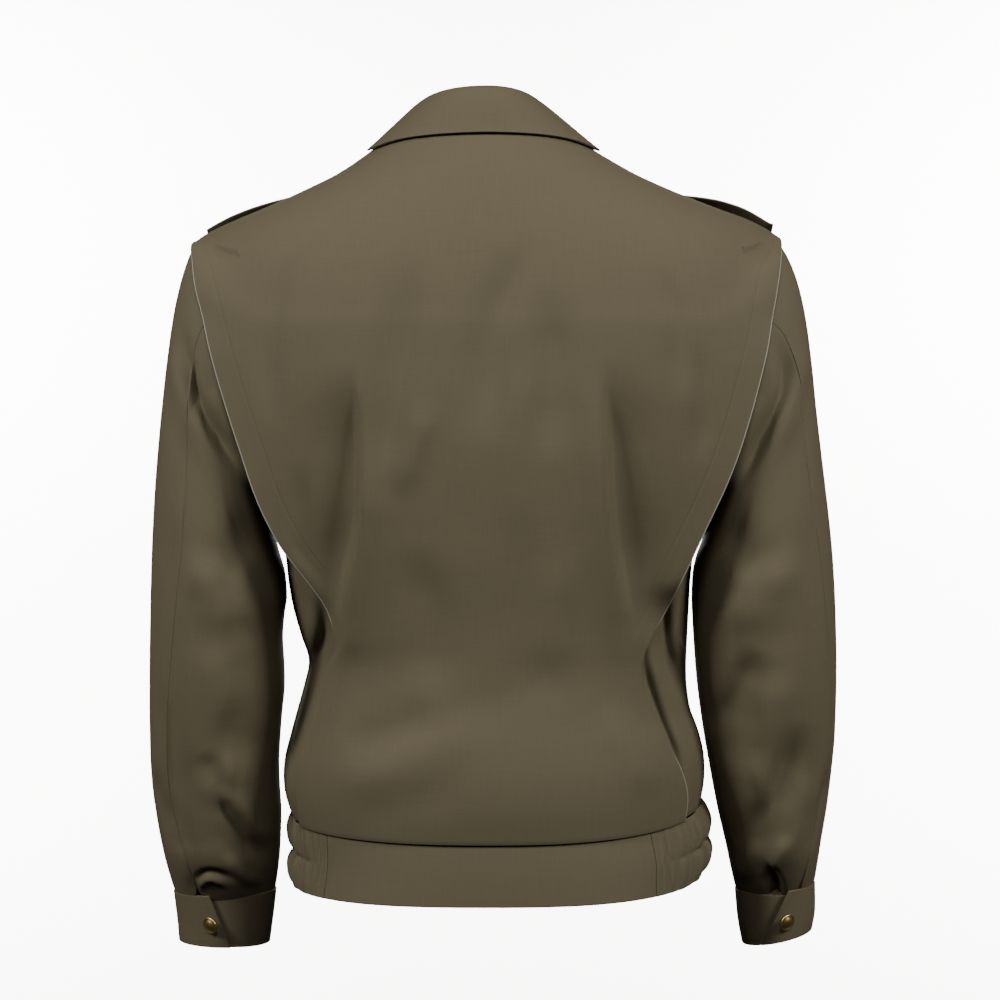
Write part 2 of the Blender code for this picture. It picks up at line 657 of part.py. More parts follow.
def sleeve_panel(side, table, part, look):
    """The top or the under half of a sleeve, between its front and back seams."""
    last = len(table.keys) - 1
    rows = []
    for station in np.linspace(0, last, SLEEVE_ROWS + 1):
        back = float(table("back_seam", station))
        ends = (FRONT_SLEEVE_SEAM, back) if part == "top" else (back, 360 + FRONT_SLEEVE_SEAM)
        row = [sleeve_surface(table, side, station, a) for a in np.linspace(*ends, SLEEVE_COLUMNS * 3 + 1)]
        gape = SLEEVE_GAP / 2 + vent_gape(station, last)
        gaps = (SLEEVE_GAP / 2, gape) if part == "top" else (gape, SLEEVE_GAP / 2)
        rows.append(evenly(np.array(row), SLEEVE_COLUMNS + 1, *gaps))
    return cloth(f"sleeve_{part}_{side}", rows[::-1], look)


# Cuffs

def cuff_point(table, side, station, angle, lift):
    point = table_ring(table, station, angle, 2.0)
    centre = (table_ring(table, station, 0.0, 2.0) + table_ring(table, station, 180.0, 2.0)) / 2
    out = unit(point - centre)
    point = point + out * lift
    point[0] *= side_sign(side)
    return point


def cuff(side, table, look):
    """A cuff: it starts under its own end, goes once round the wrist and laps over the start."""
    last = len(table.keys) - 1
    rows = []
    for station in np.linspace(0, last, CUFF_ROWS + 1):
        share = station / last
        end = 360 + CUFF_EDGE_TOP + (CUFF_EDGE_BOTTOM[side] - CUFF_EDGE_TOP) * share
        angles = np.linspace(CUFF_UNDERLAP, end, CUFF_COLUMNS + 1)
        tuck = np.clip((angles - CUFF_UNDERLAP - CUFF_TUCK) / CUFF_SETTLE, 0, 1)
        lifts = -CUFF_UNDER * (1 - tuck * tuck * (3 - 2 * tuck))
        rows.append([cuff_point(table, side, station, a, lift) for a, lift in zip(angles, lifts)])
    return cloth(f"cuff_{side}", np.array(rows)[::-1], look)


# Buttons

def button(name, place, normal, look):
    """A domed button turned about its own axis, with its flat back at the place given."""
    mesh = bpy.data.meshes.new(name)
    bm = bmesh.new()
    profile = [
        (0.0, 0.0), (BUTTON_RADIUS - 0.6, 0.0), (BUTTON_RADIUS, 0.7), (BUTTON_RADIUS - 0.2, BUTTON_RIM),
        (BUTTON_RADIUS - 1.0, BUTTON_RIM + 0.1), (BUTTON_RADIUS * 0.6, BUTTON_DOME * 0.86), (0.0, BUTTON_DOME),
    ]
    verts = [bm.verts.new((r * MM, 0, h * MM)) for r, h in profile]
    edges = [bm.edges.new(pair) for pair in zip(verts, verts[1:])]
    bmesh.ops.spin(
        bm, geom=verts + edges, cent=(0, 0, 0), axis=(0, 0, 1), angle=math.tau, steps=16, use_merge=True,
    )
    bmesh.ops.remove_doubles(bm, verts=bm.verts, dist=1e-6)
    bmesh.ops.recalc_face_normals(bm, faces=bm.faces)
    bm.to_mesh(mesh)
    bm.free()
    mesh.shade_smooth()
    obj = add_object(name, mesh, look)
    turn = Vector(normal).to_track_quat("Z", "Y").to_matrix().to_4x4()
    obj.matrix_world = Matrix.Translation(Vector(place) * MM) @ turn
    return obj


def cuff_button(side, table, look):
    station, angle = CUFF_BUTTON[side]
    round_step = cuff_point(table, side, station, angle + 4, 0) - cuff_point(table, side, station, angle - 4, 0)
    down_step = cuff_point(table, side, station + 0.3, angle, 0) - cuff_point(table, side, station - 0.3, angle, 0)
    normal = unit(np.cross(down_step, round_step)) * side_sign(side)
    place = cuff_point(table, side, station, angle, 0) + normal * (WALL / 2 + BUTTON_CLEAR)
    return button(f"cuff_button_{side}", place, normal, look)


# Waistband

def band_lift(share, angle):
    """How far the elastic part of the waistband stands out: two puffed channels drawn into gathers."""
    start = BAND_PLAIN_BACK["left" if angle > 0 else "right"]
    t = (abs(angle) - start) / (BAND_PLAIN_FRONT - start)
    if not 0 < t < 1:
        return 0.0
    ends = min(1.0, t / GATHER_ENDS, (1 - t) / GATHER_ENDS)
    puff = abs(math.sin(2 * math.pi * share))
    wave = math.cos(2 * math.pi * GATHERS * t)
    return ends * (CHANNEL_PUFF * puff * (CHANNEL_EVEN + (1 - CHANNEL_EVEN) * wave) + GATHER_HEIGHT * wave)


def band_piece(name, start, end, columns, look):
    rows = []
    for share in np.linspace(1, 0, BAND_ROWS + 1):
        angles = np.linspace(start, end, columns + 1)
        lifts = np.array([band_lift(share, a) for a in angles])
        row = surface(BAND, np.full(len(angles), (1 - share) * BAND_TOP), angles, lifts)
        row[0] += unit(row[1] - row[0]) * SEAM_GAP / 2
        row[-1] += unit(row[-2] - row[-1]) * SEAM_GAP / 2
        rows.append(row)
    rows[-1][:, 2] -= BAND_GAP / 2
    return cloth(name, rows, look)


def waistband(look):
    band_piece("waistband_back", BAND_PLAIN_BACK["left"], -BAND_PLAIN_BACK["right"], BAND_BACK_COLUMNS, look)
    for side in ("left", "right"):
        sign = side_sign(side)
        columns = GATHERS * GATHER_POINTS
        ends = (sign * BAND_PLAIN_FRONT, sign * BAND_PLAIN_BACK[side])
        band_piece(f"waistband_side_{side}", *ends, columns, look)
        edge = 180 - math.degrees(math.asin(FRONT_EDGE / RINGS["band_seam"][0]))
        ends = (sign * edge, sign * BAND_PLAIN_FRONT)
        band_piece(f"waistband_front_{side}", *ends, BAND_FRONT_COLUMNS, look)


# Collar

def between(back, side, front, angle):
    """A value that runs smoothly from the centre back by the side to the front as the angle goes 0, 90, 180."""
    return curve_through((0, 90, 180), (back, side, front), abs(angle))


def roll_point(angle):
    """The collar's roll line, round the neck."""
    sign = 1 if angle >= 0 else -1
    turn = math.radians(abs(angle))
    front = max(0.0, -math.cos(turn))
    x = STAND_SIDE[0] * math.sin(turn) ** ROLL_ROUND + STAND_FRONT[0] * front**3
    y_reach = STAND_BACK[1] if math.cos(turn) >= 0 else -STAND_FRONT[1]
    z_end = STAND_BACK[2] if math.cos(turn) >= 0 else STAND_FRONT[2]
    y = STAND_SIDE[1] + (y_reach - STAND_SIDE[1]) * math.cos(turn)
    z = STAND_SIDE[2] + (z_end - STAND_SIDE[2]) * abs(math.cos(turn)) ** ROLL_FALL
    return np.array([sign * x + NECK_SHIFT * abs(math.sin(turn)) ** 0.5, y, z])


FALL_LEVEL = Table(
    ("angle", "down", "turn"),
    (
        (0, 1.0, 0),
        (40, 1.05, 0),
        (65, 1.25, 0),
        (90, 0.5, 0),
        (130, 2.0, -3),
        (160, 3.6, -14),
        (176, 4.1, -26),
    ),
    keyed=True,
)


def fall_edge(angle):
    """The outer edge of the collar's fall, which lies just above the shoulders and fronts."""
    sign = 1 if angle >= 0 else -1
    level = LEVEL["neck"] - float(FALL_LEVEL("down", abs(angle)))
    turned = abs(angle) + float(FALL_LEVEL("turn", abs(angle)))
    lift = float(between(FALL_LIFT_BACK, FALL_LIFT_SIDE + LAP / 2, FALL_LIFT_FRONT, angle))
    return surface(TORSO, level, sign * turned, lift)


def collar(look):
    """Stand and fall in one wall, folded over a small roll."""
    end = 180 - math.degrees(math.asin(FRONT_EDGE / RINGS["neck"][0]))
    columns = []
    for angle in np.linspace(end, -end, 2 * COLLAR_COLUMNS + 1):
        seam = surface(TORSO, LEVEL["neck"], angle, 0.0) + np.array([0, 0, STAND_CLEAR])
        roll, edge = roll_point(angle), fall_edge(angle)
        out = unit((edge - roll) * np.array([1, 1, 0]))
        up = np.array([0.0, 0.0, 1.0])
        over = [roll + ROLL_RADIUS * (out * (1 - math.cos(a)) + up * math.sin(a)) for a in ROLL_TURNS]
        swell = (out + up) * FALL_SWELL * math.cos(math.radians(angle)) ** 2
        fall = [over[-1] * (1 - t) + edge * t + swell * 4 * t * (1 - t) ** 2 for t in FALL_SHARES]
        stand = [seam, seam * 0.5 + roll * 0.5]
        columns.append(stand + over + fall)
    return cloth("collar", np.array(columns).transpose(1, 0, 2), look)


# Shoulder straps

def ridge_z(x, side):
    """The height of the shoulder seam's ridge at a width x."""
    levels = np.arange(LEVEL["shoulder_tip"], LEVEL["neck"] + 1)
    widths, heights = TORSO(f"{side}_x", levels), TORSO(f"{side}_z", levels)
    return float(np.interp(x, widths[::-1], heights[::-1]))


def strap_point(side, t, across):
    """A point of the shoulder strap: t runs from the shoulder tip to the pointed end, across from -1 to 1."""
    length = STRAP_OUTER_X - STRAP_INNER_X
    half = (STRAP_WIDTH + (STRAP_INNER_WIDTH - STRAP_WIDTH) * t) / 2
    pointed = STRAP_POINT * abs(across) ** 1.5 * np.clip((t - 0.8) / 0.2, 0, 1)
    x = STRAP_OUTER_X - length * t + pointed
    y = STRAP_Y + half * across
    risen = math.sin(math.pi * min((t + ARCH_START) / ARCH_LENGTH, 1.0) ** ARCH_EARLY)
    arch = STRAP_ARCH[side] * risen * (1 - ARCH_LEAN + ARCH_LEAN * across)
    share = SHOULDER_FALL[0] + (SHOULDER_FALL[1] - SHOULDER_FALL[0]) * t
    fall = share * max(0.0, -y) ** SHOULDER_FALL_POWER
    return np.array([side_sign(side) * x, y, ridge_z(x, side) - fall + STRAP_LIFT + arch])


def strap(side, look):
    rows = []
    for t in np.linspace(0, 1, STRAP_ROWS + 1):
        rows.append([strap_point(side, t, across) for across in np.linspace(-1, 1, STRAP_COLUMNS + 1)])
    return cloth(f"shoulder_strap_{side}", np.array(rows), look)


def strap_button(side, look):
    t = (STRAP_OUTER_X - STRAP_BUTTON_X) / (STRAP_OUTER_X - STRAP_INNER_X)
    place = strap_point(side, t, 0.0)
    along = strap_point(side, t + 0.02, 0.0) - strap_point(side, t - 0.02, 0.0)
    across = strap_point(side, t, 0.1) - strap_point(side, t, -0.1)
    normal = unit(np.cross(along, across))
    normal = normal if normal[2] > 0 else -normal
    return button(f"strap_button_{side}", place + normal * (WALL / 2 + BUTTON_CLEAR), normal, look)


# Zip fastener

def zip_rows(x_start, x_end, depth):
    """A strip on the centre front, from the hem to the neck, between two widths."""
    rows = []
    body = [level for level in BODY_LEVELS[1:] if level < LEVEL["neck"] - 0.2]
    for rings, levels in ((BAND, np.linspace(0, BAND_TOP, BAND_ROWS + 1)), (TORSO, body)):
        for level in levels:
            centre = surface(rings, level, 180.0, depth)
            rows.append([np.array([x, centre[1], centre[2]]) for x in (x_start, x_end)])
    return np.array(rows)


def zip_fastener(tape_look, metal_look):
    for side in ("left", "right"):
        sign = side_sign(side)
        rows = zip_rows(sign * TAPE_START, sign * (TAPE_START + TAPE_WIDTH), TAPE_DEPTH)
        cloth(f"zip_tape_{side}", rows, tape_look, TAPE_THICK)
    cloth("zip_chain", zip_rows(-CHAIN_WIDTH / 2, CHAIN_WIDTH / 2, CHAIN_DEPTH), metal_look, CHAIN_THICK)


def slider_frame():
    """The slider's place on the chain near the neck, as a matrix: X across, Y away from the cloth, Z up the zip."""
    level = LEVEL["neck"] - SLIDER_DROP
    above, below = surface(TORSO, level + 0.1, 180.0), surface(TORSO, level - 0.1, 180.0)
    up = Vector(unit(above - below))
    out = Vector((1, 0, 0)).cross(up)
    out = out if out.y < 0 else -out
    place = Vector(surface(TORSO, level, 180.0)) + out * (CHAIN_DEPTH + CHAIN_THICK / 2 + SLIDER_CLEAR)
    turn = Matrix((Vector((-1, 0, 0)), out, up)).transposed().to_4x4()
    return Matrix.Translation(place * MM) @ turn


def add_block(bm, low, high):
    """A block between two corners, in millimetres."""
    made = bmesh.ops.create_cube(bm, size=1.0)["verts"]
    for vert in made:
        vert.co = Vector([(low[k] + (vert.co[k] + 0.5) * (high[k] - low[k])) * MM for k in range(3)])
    return made


def block_object(name, blocks, look):
    """One object made of blocks, each between a low and a high corner."""
    mesh = bpy.data.meshes.new(name)
    bm = bmesh.new()
    for low, high in blocks:
        add_block(bm, low, high)
    bm.to_mesh(mesh)
    bm.free()
    return add_object(name, mesh, look)


def zip_slider(look):
    """The slider's front plate and the bridge over it, as one body."""
    half_width, half_length = SLIDER_WIDTH / 2, SLIDER_LENGTH / 2
    plate = block_object(
        "zip_slider", [((-half_width, 0, -half_length), (half_width, SLIDER_THICK, half_length))], look,
    )
    outer, inner = BRIDGE_LENGTH / 2, BRIDGE_LENGTH / 2 - BRIDGE_WALL
    top = SLIDER_THICK + BRIDGE_HEIGHT
    arch = bpy.data.meshes.new("bridge")
    profile = [
        (-outer, 0.5), (-inner, 0.5), (-inner, top - BRIDGE_WALL), (inner, top - BRIDGE_WALL),
        (inner, 0.5), (outer, 0.5), (outer, top - 0.6), (outer - 0.6, top), (0.6 - outer, top), (-outer, top - 0.6),
    ]
    bm = bmesh.new()
    face = bm.faces.new([bm.verts.new((-BRIDGE_WIDTH / 2 * MM, y * MM, z * MM)) for z, y in profile])
    extruded = bmesh.ops.extrude_face_region(bm, geom=[face])["geom"]
    moved = [item for item in extruded if isinstance(item, bmesh.types.BMVert)]
    bmesh.ops.translate(bm, vec=(BRIDGE_WIDTH * MM, 0, 0), verts=moved)
    bmesh.ops.recalc_face_normals(bm, faces=bm.faces)
    bm.to_mesh(arch)
    bm.free()
    bridge = bpy.data.objects.new("bridge", arch)
    COLLECTION.objects.link(bridge)
    join = plate.modifiers.new("Bridge", "BOOLEAN")
    join.operation, join.solver, join.object = "UNION", "EXACT", bridge
    bpy.context.view_layer.update()
    solid = bpy.data.meshes.new_from_object(plate.evaluated_get(bpy.context.evaluated_depsgraph_get()))
    plate.modifiers.clear()
    plate.data = solid
    bpy.data.objects.remove(bridge)
    plate.matrix_world = slider_frame()


def zip_pull(look):
    """The pull: a bar across the bridge's eye, two arms beside the bridge and a flat tab below them."""
    bar = PULL_THICK / 2
    eye = bar + PULL_EYE_LENGTH
    rows = [(bar, 1.0), (-bar, 1.0), (-eye, 1.0), (2 * bar - PULL_LENGTH, 1.0), (-PULL_LENGTH, 0.6)]
    columns = (-PULL_WIDTH / 2, -PULL_EYE / 2, PULL_EYE / 2, PULL_WIDTH / 2)
    bm = bmesh.new()
    grid = [[bm.verts.new((x * k * MM, PULL_AXIS_HEIGHT * MM, z * MM)) for x in columns] for z, k in rows]
    for i in range(len(rows) - 1):
        for j in range(3):
            if (i, j) != (1, 1):
                bm.faces.new((grid[i][j], grid[i][j + 1], grid[i + 1][j + 1], grid[i + 1][j]))
    mesh = bpy.data.meshes.new("zip_pull")
    bm.to_mesh(mesh)
    bm.free()
    obj = add_object("zip_pull", mesh, look)
    solidify = obj.modifiers.new("Thickness", "SOLIDIFY")
    solidify.thickness = PULL_THICK * MM
    solidify.offset = 0.0
    obj.matrix_world = slider_frame()


def main():
    for obj in list(bpy.data.objects):
        bpy.data.objects.remove(obj)
    serge = material("wool_serge", OLIVE, 0.85)
    brass = material("button_brass", BRASS, 0.3, 1.0)
    tape = material("zip_tape", TAPE_COLOUR, 0.8)
    metal = material("zip_metal", ZIP_METAL, 0.4, 1.0)
    back_panel(serge)
    tables = {
        "left": (Table(SLEEVE_COLUMNS_NAMES, LEFT_SLEEVE), Table(CUFF_TABLE_COLUMNS, LEFT_CUFF)),
        "right": (Table(SLEEVE_COLUMNS_NAMES, RIGHT_SLEEVE), Table(CUFF_TABLE_COLUMNS, RIGHT_CUFF)),
    }
    for side, (sleeve_table, cuff_table) in tables.items():
        front_panel(side, serge)
        side_panel(side, serge)
        sleeve_panel(side, sleeve_table, "top", serge)
        sleeve_panel(side, sleeve_table, "under", serge)
        cuff(side, cuff_table, serge)
        cuff_button(side, cuff_table, brass)
        strap(side, serge)
        strap_button(side, brass)
    waistband(serge)
    collar(serge)
    zip_fastener(tape, metal)
    zip_slider(metal)
    zip_pull(metal)


main()
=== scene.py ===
import math

import bmesh
import bpy
import numpy as np
from bpy.props import FloatProperty, FloatVectorProperty, PointerProperty
from mathutils import Matrix, Vector


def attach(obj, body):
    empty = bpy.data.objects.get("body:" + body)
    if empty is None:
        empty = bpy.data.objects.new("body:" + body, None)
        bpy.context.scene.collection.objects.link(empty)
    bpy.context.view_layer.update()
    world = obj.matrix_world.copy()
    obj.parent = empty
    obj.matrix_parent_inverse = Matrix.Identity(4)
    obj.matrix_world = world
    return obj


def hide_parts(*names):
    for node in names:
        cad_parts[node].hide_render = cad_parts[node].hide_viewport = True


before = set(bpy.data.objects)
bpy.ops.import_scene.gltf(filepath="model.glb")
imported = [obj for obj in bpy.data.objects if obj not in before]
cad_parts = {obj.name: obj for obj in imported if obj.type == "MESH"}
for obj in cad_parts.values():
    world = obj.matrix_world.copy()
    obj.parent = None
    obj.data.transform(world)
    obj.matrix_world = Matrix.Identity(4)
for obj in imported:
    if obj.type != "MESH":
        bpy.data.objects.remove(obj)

bl_info = {
    "name": "Field Jacket",
    "version": (1, 0, 0),
    "blender": (4, 5, 0),
    "location": "3D Viewport > Sidebar > Jacket",
    "description": "Builds a waist-length wool field jacket as it is worn, with nobody in it",
    "category": "Add Mesh",
}

# Every size below is in millimetres, and the meshes are made in metres. The garment's front faces -Y.
MM = 0.001

# The cloth lies where the solid pieces lie. The seams are pressed almost shut.
SEAM_GAP = 0.16
LAP = 2.1
BAND_GAP = 0.2

# The outer face is half a wall's thickness out from the surface that the functions below give.
FACE = 0.8

# Coarse steps of the cut pieces, which are then drawn finer.
ARMHOLE_STEPS = 12
LOW_ROWS = 12
SHOULDER_ROWS = 6
BACK_COLUMNS = 11
FRONT_COLUMNS = 8
SIDE_COLUMNS = 5
SLEEVE_ROWS = 26
SLEEVE_END_ROWS = 12
SLEEVE_COLUMNS = 14
BAND_STEPS = {"back": (24, 8), "elastic": (240, 36), "front": (12, 8)}
STRAP_STEPS = (10, 24)

# How finely each piece is drawn: rows and columns of quads. The sleeves' rows crowd towards the cuff.
GRIDS = {
    "back": (172, 264),
    "side": (130, 60),
    "front": (130, 60),
    "sleeve": (214, 74),
    "cuff": (26, 260),
    "band_back": (30, 120),
    "band_front": (30, 50),
    "collar": (80, 220),
    "strap": (100, 44),
    "tape": (160, 12),
}
SLEEVE_CROWD = 1.4

# Rings of the torso, from the waistband seam up to the neck seam. left and right are the side points as the
# wearer has them, back and front the centre points. square is 2 for an ellipse and more for a fuller ring.
RING_COLUMNS = (
    "left_x", "right_x", "left_z", "right_z", "side_y",
    "back_y", "back_z", "front_y", "front_z", "back_square", "front_square",
)
RINGS = {
    "band_seam": (162.0, 172.0, -543, -532, -10, 100, -557, -120, -552, 2.5, 2.3),
    "blouse": (169.5, 176.0, -512, -505, -10, 104, -520, -125, -516, 2.35, 2.3),
    "blouse_top": (162.5, 170.0, -476, -474, -10, 101, -484, -124, -480, 2.35, 2.3),
    "waist_low": (155.5, 162.0, -450, -450, -10, 97, -455, -123, -452, 2.35, 2.3),
    "waist": (148.5, 160.5, -418, -420, -10, 95, -421, -123, -419, 2.4, 2.3),
    "waist_top": (158.5, 162.0, -385, -386, -9, 97, -387, -125, -387, 2.45, 2.3),
    "ribs": (164.6, 163.6, -352, -352, -7, 101, -354, -128, -357, 2.5, 2.3),
    "below_arm": (167.0, 166.0, -328, -328, -5, 104, -331, -130, -336, 2.6, 2.35),
    "underarm": (171.0, 169.5, -306, -306, -3, 106, -310, -131, -317, 2.75, 2.4),
    "chest": (182.0, 180.0, -276, -276, -2, 109, -281, -133, -291, 2.9, 2.5),
    "blade": (196.0, 194.0, -232, -232, 0, 113, -240, -134, -256, 3.0, 2.6),
    "mid_armhole": (209.0, 207.0, -184, -184, 0, 115.5, -198, -132, -224, 3.05, 2.6),
    "high_armhole": (220.0, 217.0, -136, -136, 0, 115.5, -156, -128, -196, 2.95, 2.55),
    "cap": (228.5, 225.0, -98, -98, 0, 113.5, -124, -123, -174, 2.75, 2.5),
    "shoulder_tip": (234.0, 230.0, -73, -70, 0, 110, -98, -118, -158, 2.55, 2.45),
    "shoulder_6": (213.0, 210.0, -64.0, -61.0, 0, 106, -77, -112, -144, 2.4, 2.35),
    "shoulder_5": (190.0, 189.0, -55.0, -53.5, 0, 100.5, -58, -105, -131, 2.3, 2.3),
    "shoulder_4": (165.0, 164.0, -45, -45.5, 0, 94, -41, -97, -119, 2.25, 2.25),
    "shoulder_3": (140.0, 136.0, -34.5, -35.5, 0, 87, -26, -88, -108, 2.15, 2.2),
    "shoulder_2": (116.0, 110.0, -20.5, -21.5, 1, 79.5, -11, -78, -98, 2.1, 2.15),
    "shoulder_1": (99.0, 88.0, -8.5, -9.0, 1, 72, 1, -69, -90, 2.1, 2.1),
    "neck": (87.0, 72.0, 1, 1, 2, 65, 10, -61, -83, 2.1, 2.1),
}
BACK_DROOP = 1.3
FRONT_DROOP = 1.7

ARMHOLE_BACK = 70.0
ARMHOLE_FRONT = 74.0
ARMHOLE_FULLNESS = 0.85

# The side edge of the back panel, down the free wing to the waist and on as the lapped seam below it.
BACK_EDGE_COLUMNS = ("z", "left_x", "right_x", "stand_y")
BACK_EDGE = (
    (-543, 150.5, 154.5, 0),
    (-520, 153.0, 156.5, 0),
    (-495, 152.0, 148.0, 0),
    (-469, 142.5, 133.5, 0),
    (-443, 136.0, 123.5, 0),
    (-415, 128.5, 119.0, 0),
    (-389, 121.5, 131.5, 0),
    (-375, 127.5, 139.0, 60),
    (-349, 146.0, 153.0, 76),
    (-325, 164.5, 164.0, 80),
    (-297, 179.5, 177.0, 82),
    (-272, 189.5, 188.5, 83),
    (-247, 197.5, 198.0, 83),
    (-215, 208.0, 207.8, 81),
    (-165, 222.5, 220.5, 75),
    (-134, 229.3, 225.5, 66),
    (-110, 235.0, 229.5, 58),
    (-90, 237.5, 232.5, 43),
    (-77, 239.5, 235.0, 22),
    (-70, 238.5, 234.0, -7),
)
SHOULDER_LAP_Y = -7.0
EDGE_STRIP = 9.0
EDGE_PASSES = 30
FLARE_START = 0.62
RIDGE_LIFT = 2.0
RIDGE_HOLD = 1.2
RIDGE_REACH = 2.5
RIDGE_LEAST = 0.35
PLEAT_DEPTH = 30.0
SEAM_LAP = 12.0
UNDERLAY = 3.5

# Folds are rows of the path by x and height, the width at its start and end, how high it stands (below 0
# for a trough), and how much steeper it is on one side. Each fades in and out over this share of its length,
# and near the edges of its piece over the distances in mm.
FOLD_FADE = 0.34
BACK_HOLD = 14.0
FRONT_HOLD = 20.0
SLEEVE_HOLD = 3.0
SIDE_HOLD = 16.0
# Between these heights the back's rows are evened out, the wings' edges get a pale painted highlight where
# the folded edge catches the light, and so does the lapped seam on the wearer's right.
SHOULDER_SOFT = (-150, -24)
WING_HIGHLIGHT_HEIGHTS = (-392, -72)
SEAM_HIGHLIGHT_HEIGHTS = (-548, -486)
SEAM_HIGHLIGHT_SHARE = 0.8
# Folds of the back, as seen from behind.
BACK_CREASES = (
    (((110, -178), (108, -230), (108, -287), (119, -350), (127, -394)), 15, 17, -10.0, 0.62),
    (((94, -188), (97, -248), (100, -318), (108, -381), (124, -443), (140, -506)), 11, 14, 3.6, 0.0),
    (((-91, -172), (-96, -219), (-101, -286), (-110, -350), (-121, -396)), 15, 17, -10.0, -0.62),
    (((-80, -185), (-84, -248), (-88, -303), (-94, -365), (-104, -428)), 11, 14, 3.4, 0.0),
    (((58, -92), (66, -160), (78, -235), (86, -300)), 14, 20, -5.6, 0.3),
    (((42, -205), (58, -244), (76, -288)), 13, 15, 2.6, 0.2),
    (((-34, -78), (-16, -116), (-2, -170), (2, -250)), 11, 20, -5.4, 0.25),
    (((-22, -170), (-20, -250), (-28, -340)), 15, 18, 2.6, 0.0),
    (((-44, -120), (-50, -180), (-47, -260)), 13, 18, -4.6, 0.0),
    (((137, -84), (164, -118), (174, -172), (170, -236)), 8, 12, -2.8, 0.0),
    (((-128, -96), (-146, -150), (-150, -215)), 9, 12, -2.2, 0.0),
    (((-86, -404), (-30, -434), (15, -455), (62, -474)), 20, 18, -1.9, 0.0),
    (((130, -520), (80, -500), (38, -480), (-10, -448)), 14, 20, 2.8, 0.1),
    (((122, -484), (80, -470), (34, -452)), 13, 16, -2.4, 0.0),
    (((120, -540), (70, -528), (8, -514)), 14, 18, -0.9, 0.0),
    (((-130, -528), (-112, -486), (-84, -446)), 12, 16, 1.8, 0.0),
    (((-162, -160), (-168, -215), (-164, -262)), 7, 9, -2.0, 0.0),
    (((-138, -290), (-134, -330), (-126, -384)), 9, 10, -1.0, 0.0),
    (((150, -255), (146, -320), (136, -365)), 7, 9, -2.0, 0.0),
    (((62, -320), (46, -390), (50, -446)), 15, 20, -3.0, 0.0),
    (((-56, -320), (-50, -390), (-62, -440)), 15, 18, 2.2, 0.0),
)
# The side panels fall in beside the back's edge, below the wings, and stand up again in a ridge outside it.
SIDE_CREASES = {
    "left": (
        (((134, -345), (131, -385), (138, -415), (149, -452), (158, -482), (161, -520)), 8, 7, -18.0, 0.0),
    ),
    "right": (
        (((142, -330), (138, -375), (141, -405), (151, -432), (161, -452)), 9, 7, -18.0, 0.0),
        (((120, -385), (123, -420), (133, -455), (148, -495), (156, -532)), 5, 5, -9.0, 0.0),
    ),
}
# The fold of cloth outside each gets a pale painted highlight along a line, where the fold catches the light.
SIDE_FOLD_HIGHLIGHT = {
    "left": (((142, -405), (150, -440), (158, -470), (162, -492)), 1.3, 1.3, 1.0, 0.0),
    "right": (((152, -395), (160, -415), (166, -440)), 1.2, 1.2, 0.7, 0.0),
}

# Each sleeve's rings, from the armhole to the cuff seam. back_seam is the seam's angle from the outer line.
SLEEVE_TABLE_COLUMNS = (
    "outer_x", "outer_z", "inner_x", "inner_z", "half_depth", "middle_y", "back_seam",
)
SLEEVES = {
    "left": (
        (234.8, -73.3, 173.5, -306, 74, -1, 60),
        (243.5, -84, 177.0, -307, 74, -1, 60),
        (250.5, -103, 178.5, -309.5, 73, -1, 61),
        (257.5, -132, 178.5, -314.5, 72, -2, 63),
        (263.0, -170, 176.5, -322, 71, -2, 65),
        (268.5, -219, 173.5, -333, 71, -3, 66),
        (273.5, -276, 169.5, -346, 71, -4, 66),
        (276.5, -330, 168.0, -366, 71, -6, 64),
        (278.0, -382, 171.5, -396, 70, -8, 60),
        (279.0, -430, 170.0, -434, 69, -11, 55),
        (279.5, -472, 173.5, -474, 66, -15, 52),
        (279.0, -510, 175.5, -510, 63, -20, 52),
        (275.5, -545, 174.0, -545, 60, -25, 54),
        (269.5, -580, 175.5, -578, 57, -30, 62),
        (262.8, -610, 177.5, -609, 46, -34, 68),
    ),
    "right": (
        (230.8, -70.3, 172.0, -306, 74, -1, 60),
        (240.5, -84, 175.5, -307, 74, -1, 60),
        (249.0, -103, 177.0, -309.5, 73, -1, 58),
        (256.5, -132, 177.0, -314.5, 72, -2, 55),
        (262.0, -170, 175.0, -322, 71, -2, 52),
        (267.0, -219, 170.5, -333, 71, -3, 50),
        (274.0, -276, 167.5, -346, 71, -4, 48),
        (280.0, -330, 166.6, -366, 71, -6, 44),
        (283.0, -382, 168.0, -396, 70, -8, 40),
        (284.0, -430, 171.0, -434, 69, -11, 36),
        (283.5, -472, 176.5, -474, 66, -15, 34),
        (281.0, -510, 183.0, -510, 63, -20, 34),
        (277.0, -545, 190.0, -545, 60, -25, 38),
        (272.5, -575, 198.0, -578, 57, -30, 50),
        (270.0, -603, 203.0, -609, 46, -34, 62),
    ),
}
SLEEVE_SQUARE = 2.15
FRONT_SLEEVE_SEAM = -120.0
SLEEVE_GAP = 0.2
ARMHOLE_BLEND = 3.0
# The open vent at each back seam: where it starts and ends, in rings above the cuff, and its width.
VENTS = {"left": (0.52, 0.08, 6.8), "right": (0.5, 0.0, 1.0)}
# The sleeve's end turns in under the cuff's top edge.
TUCK_RINGS = 1.0
TUCK_DEPTH = 1.6
TUCK_STATION = 0.12
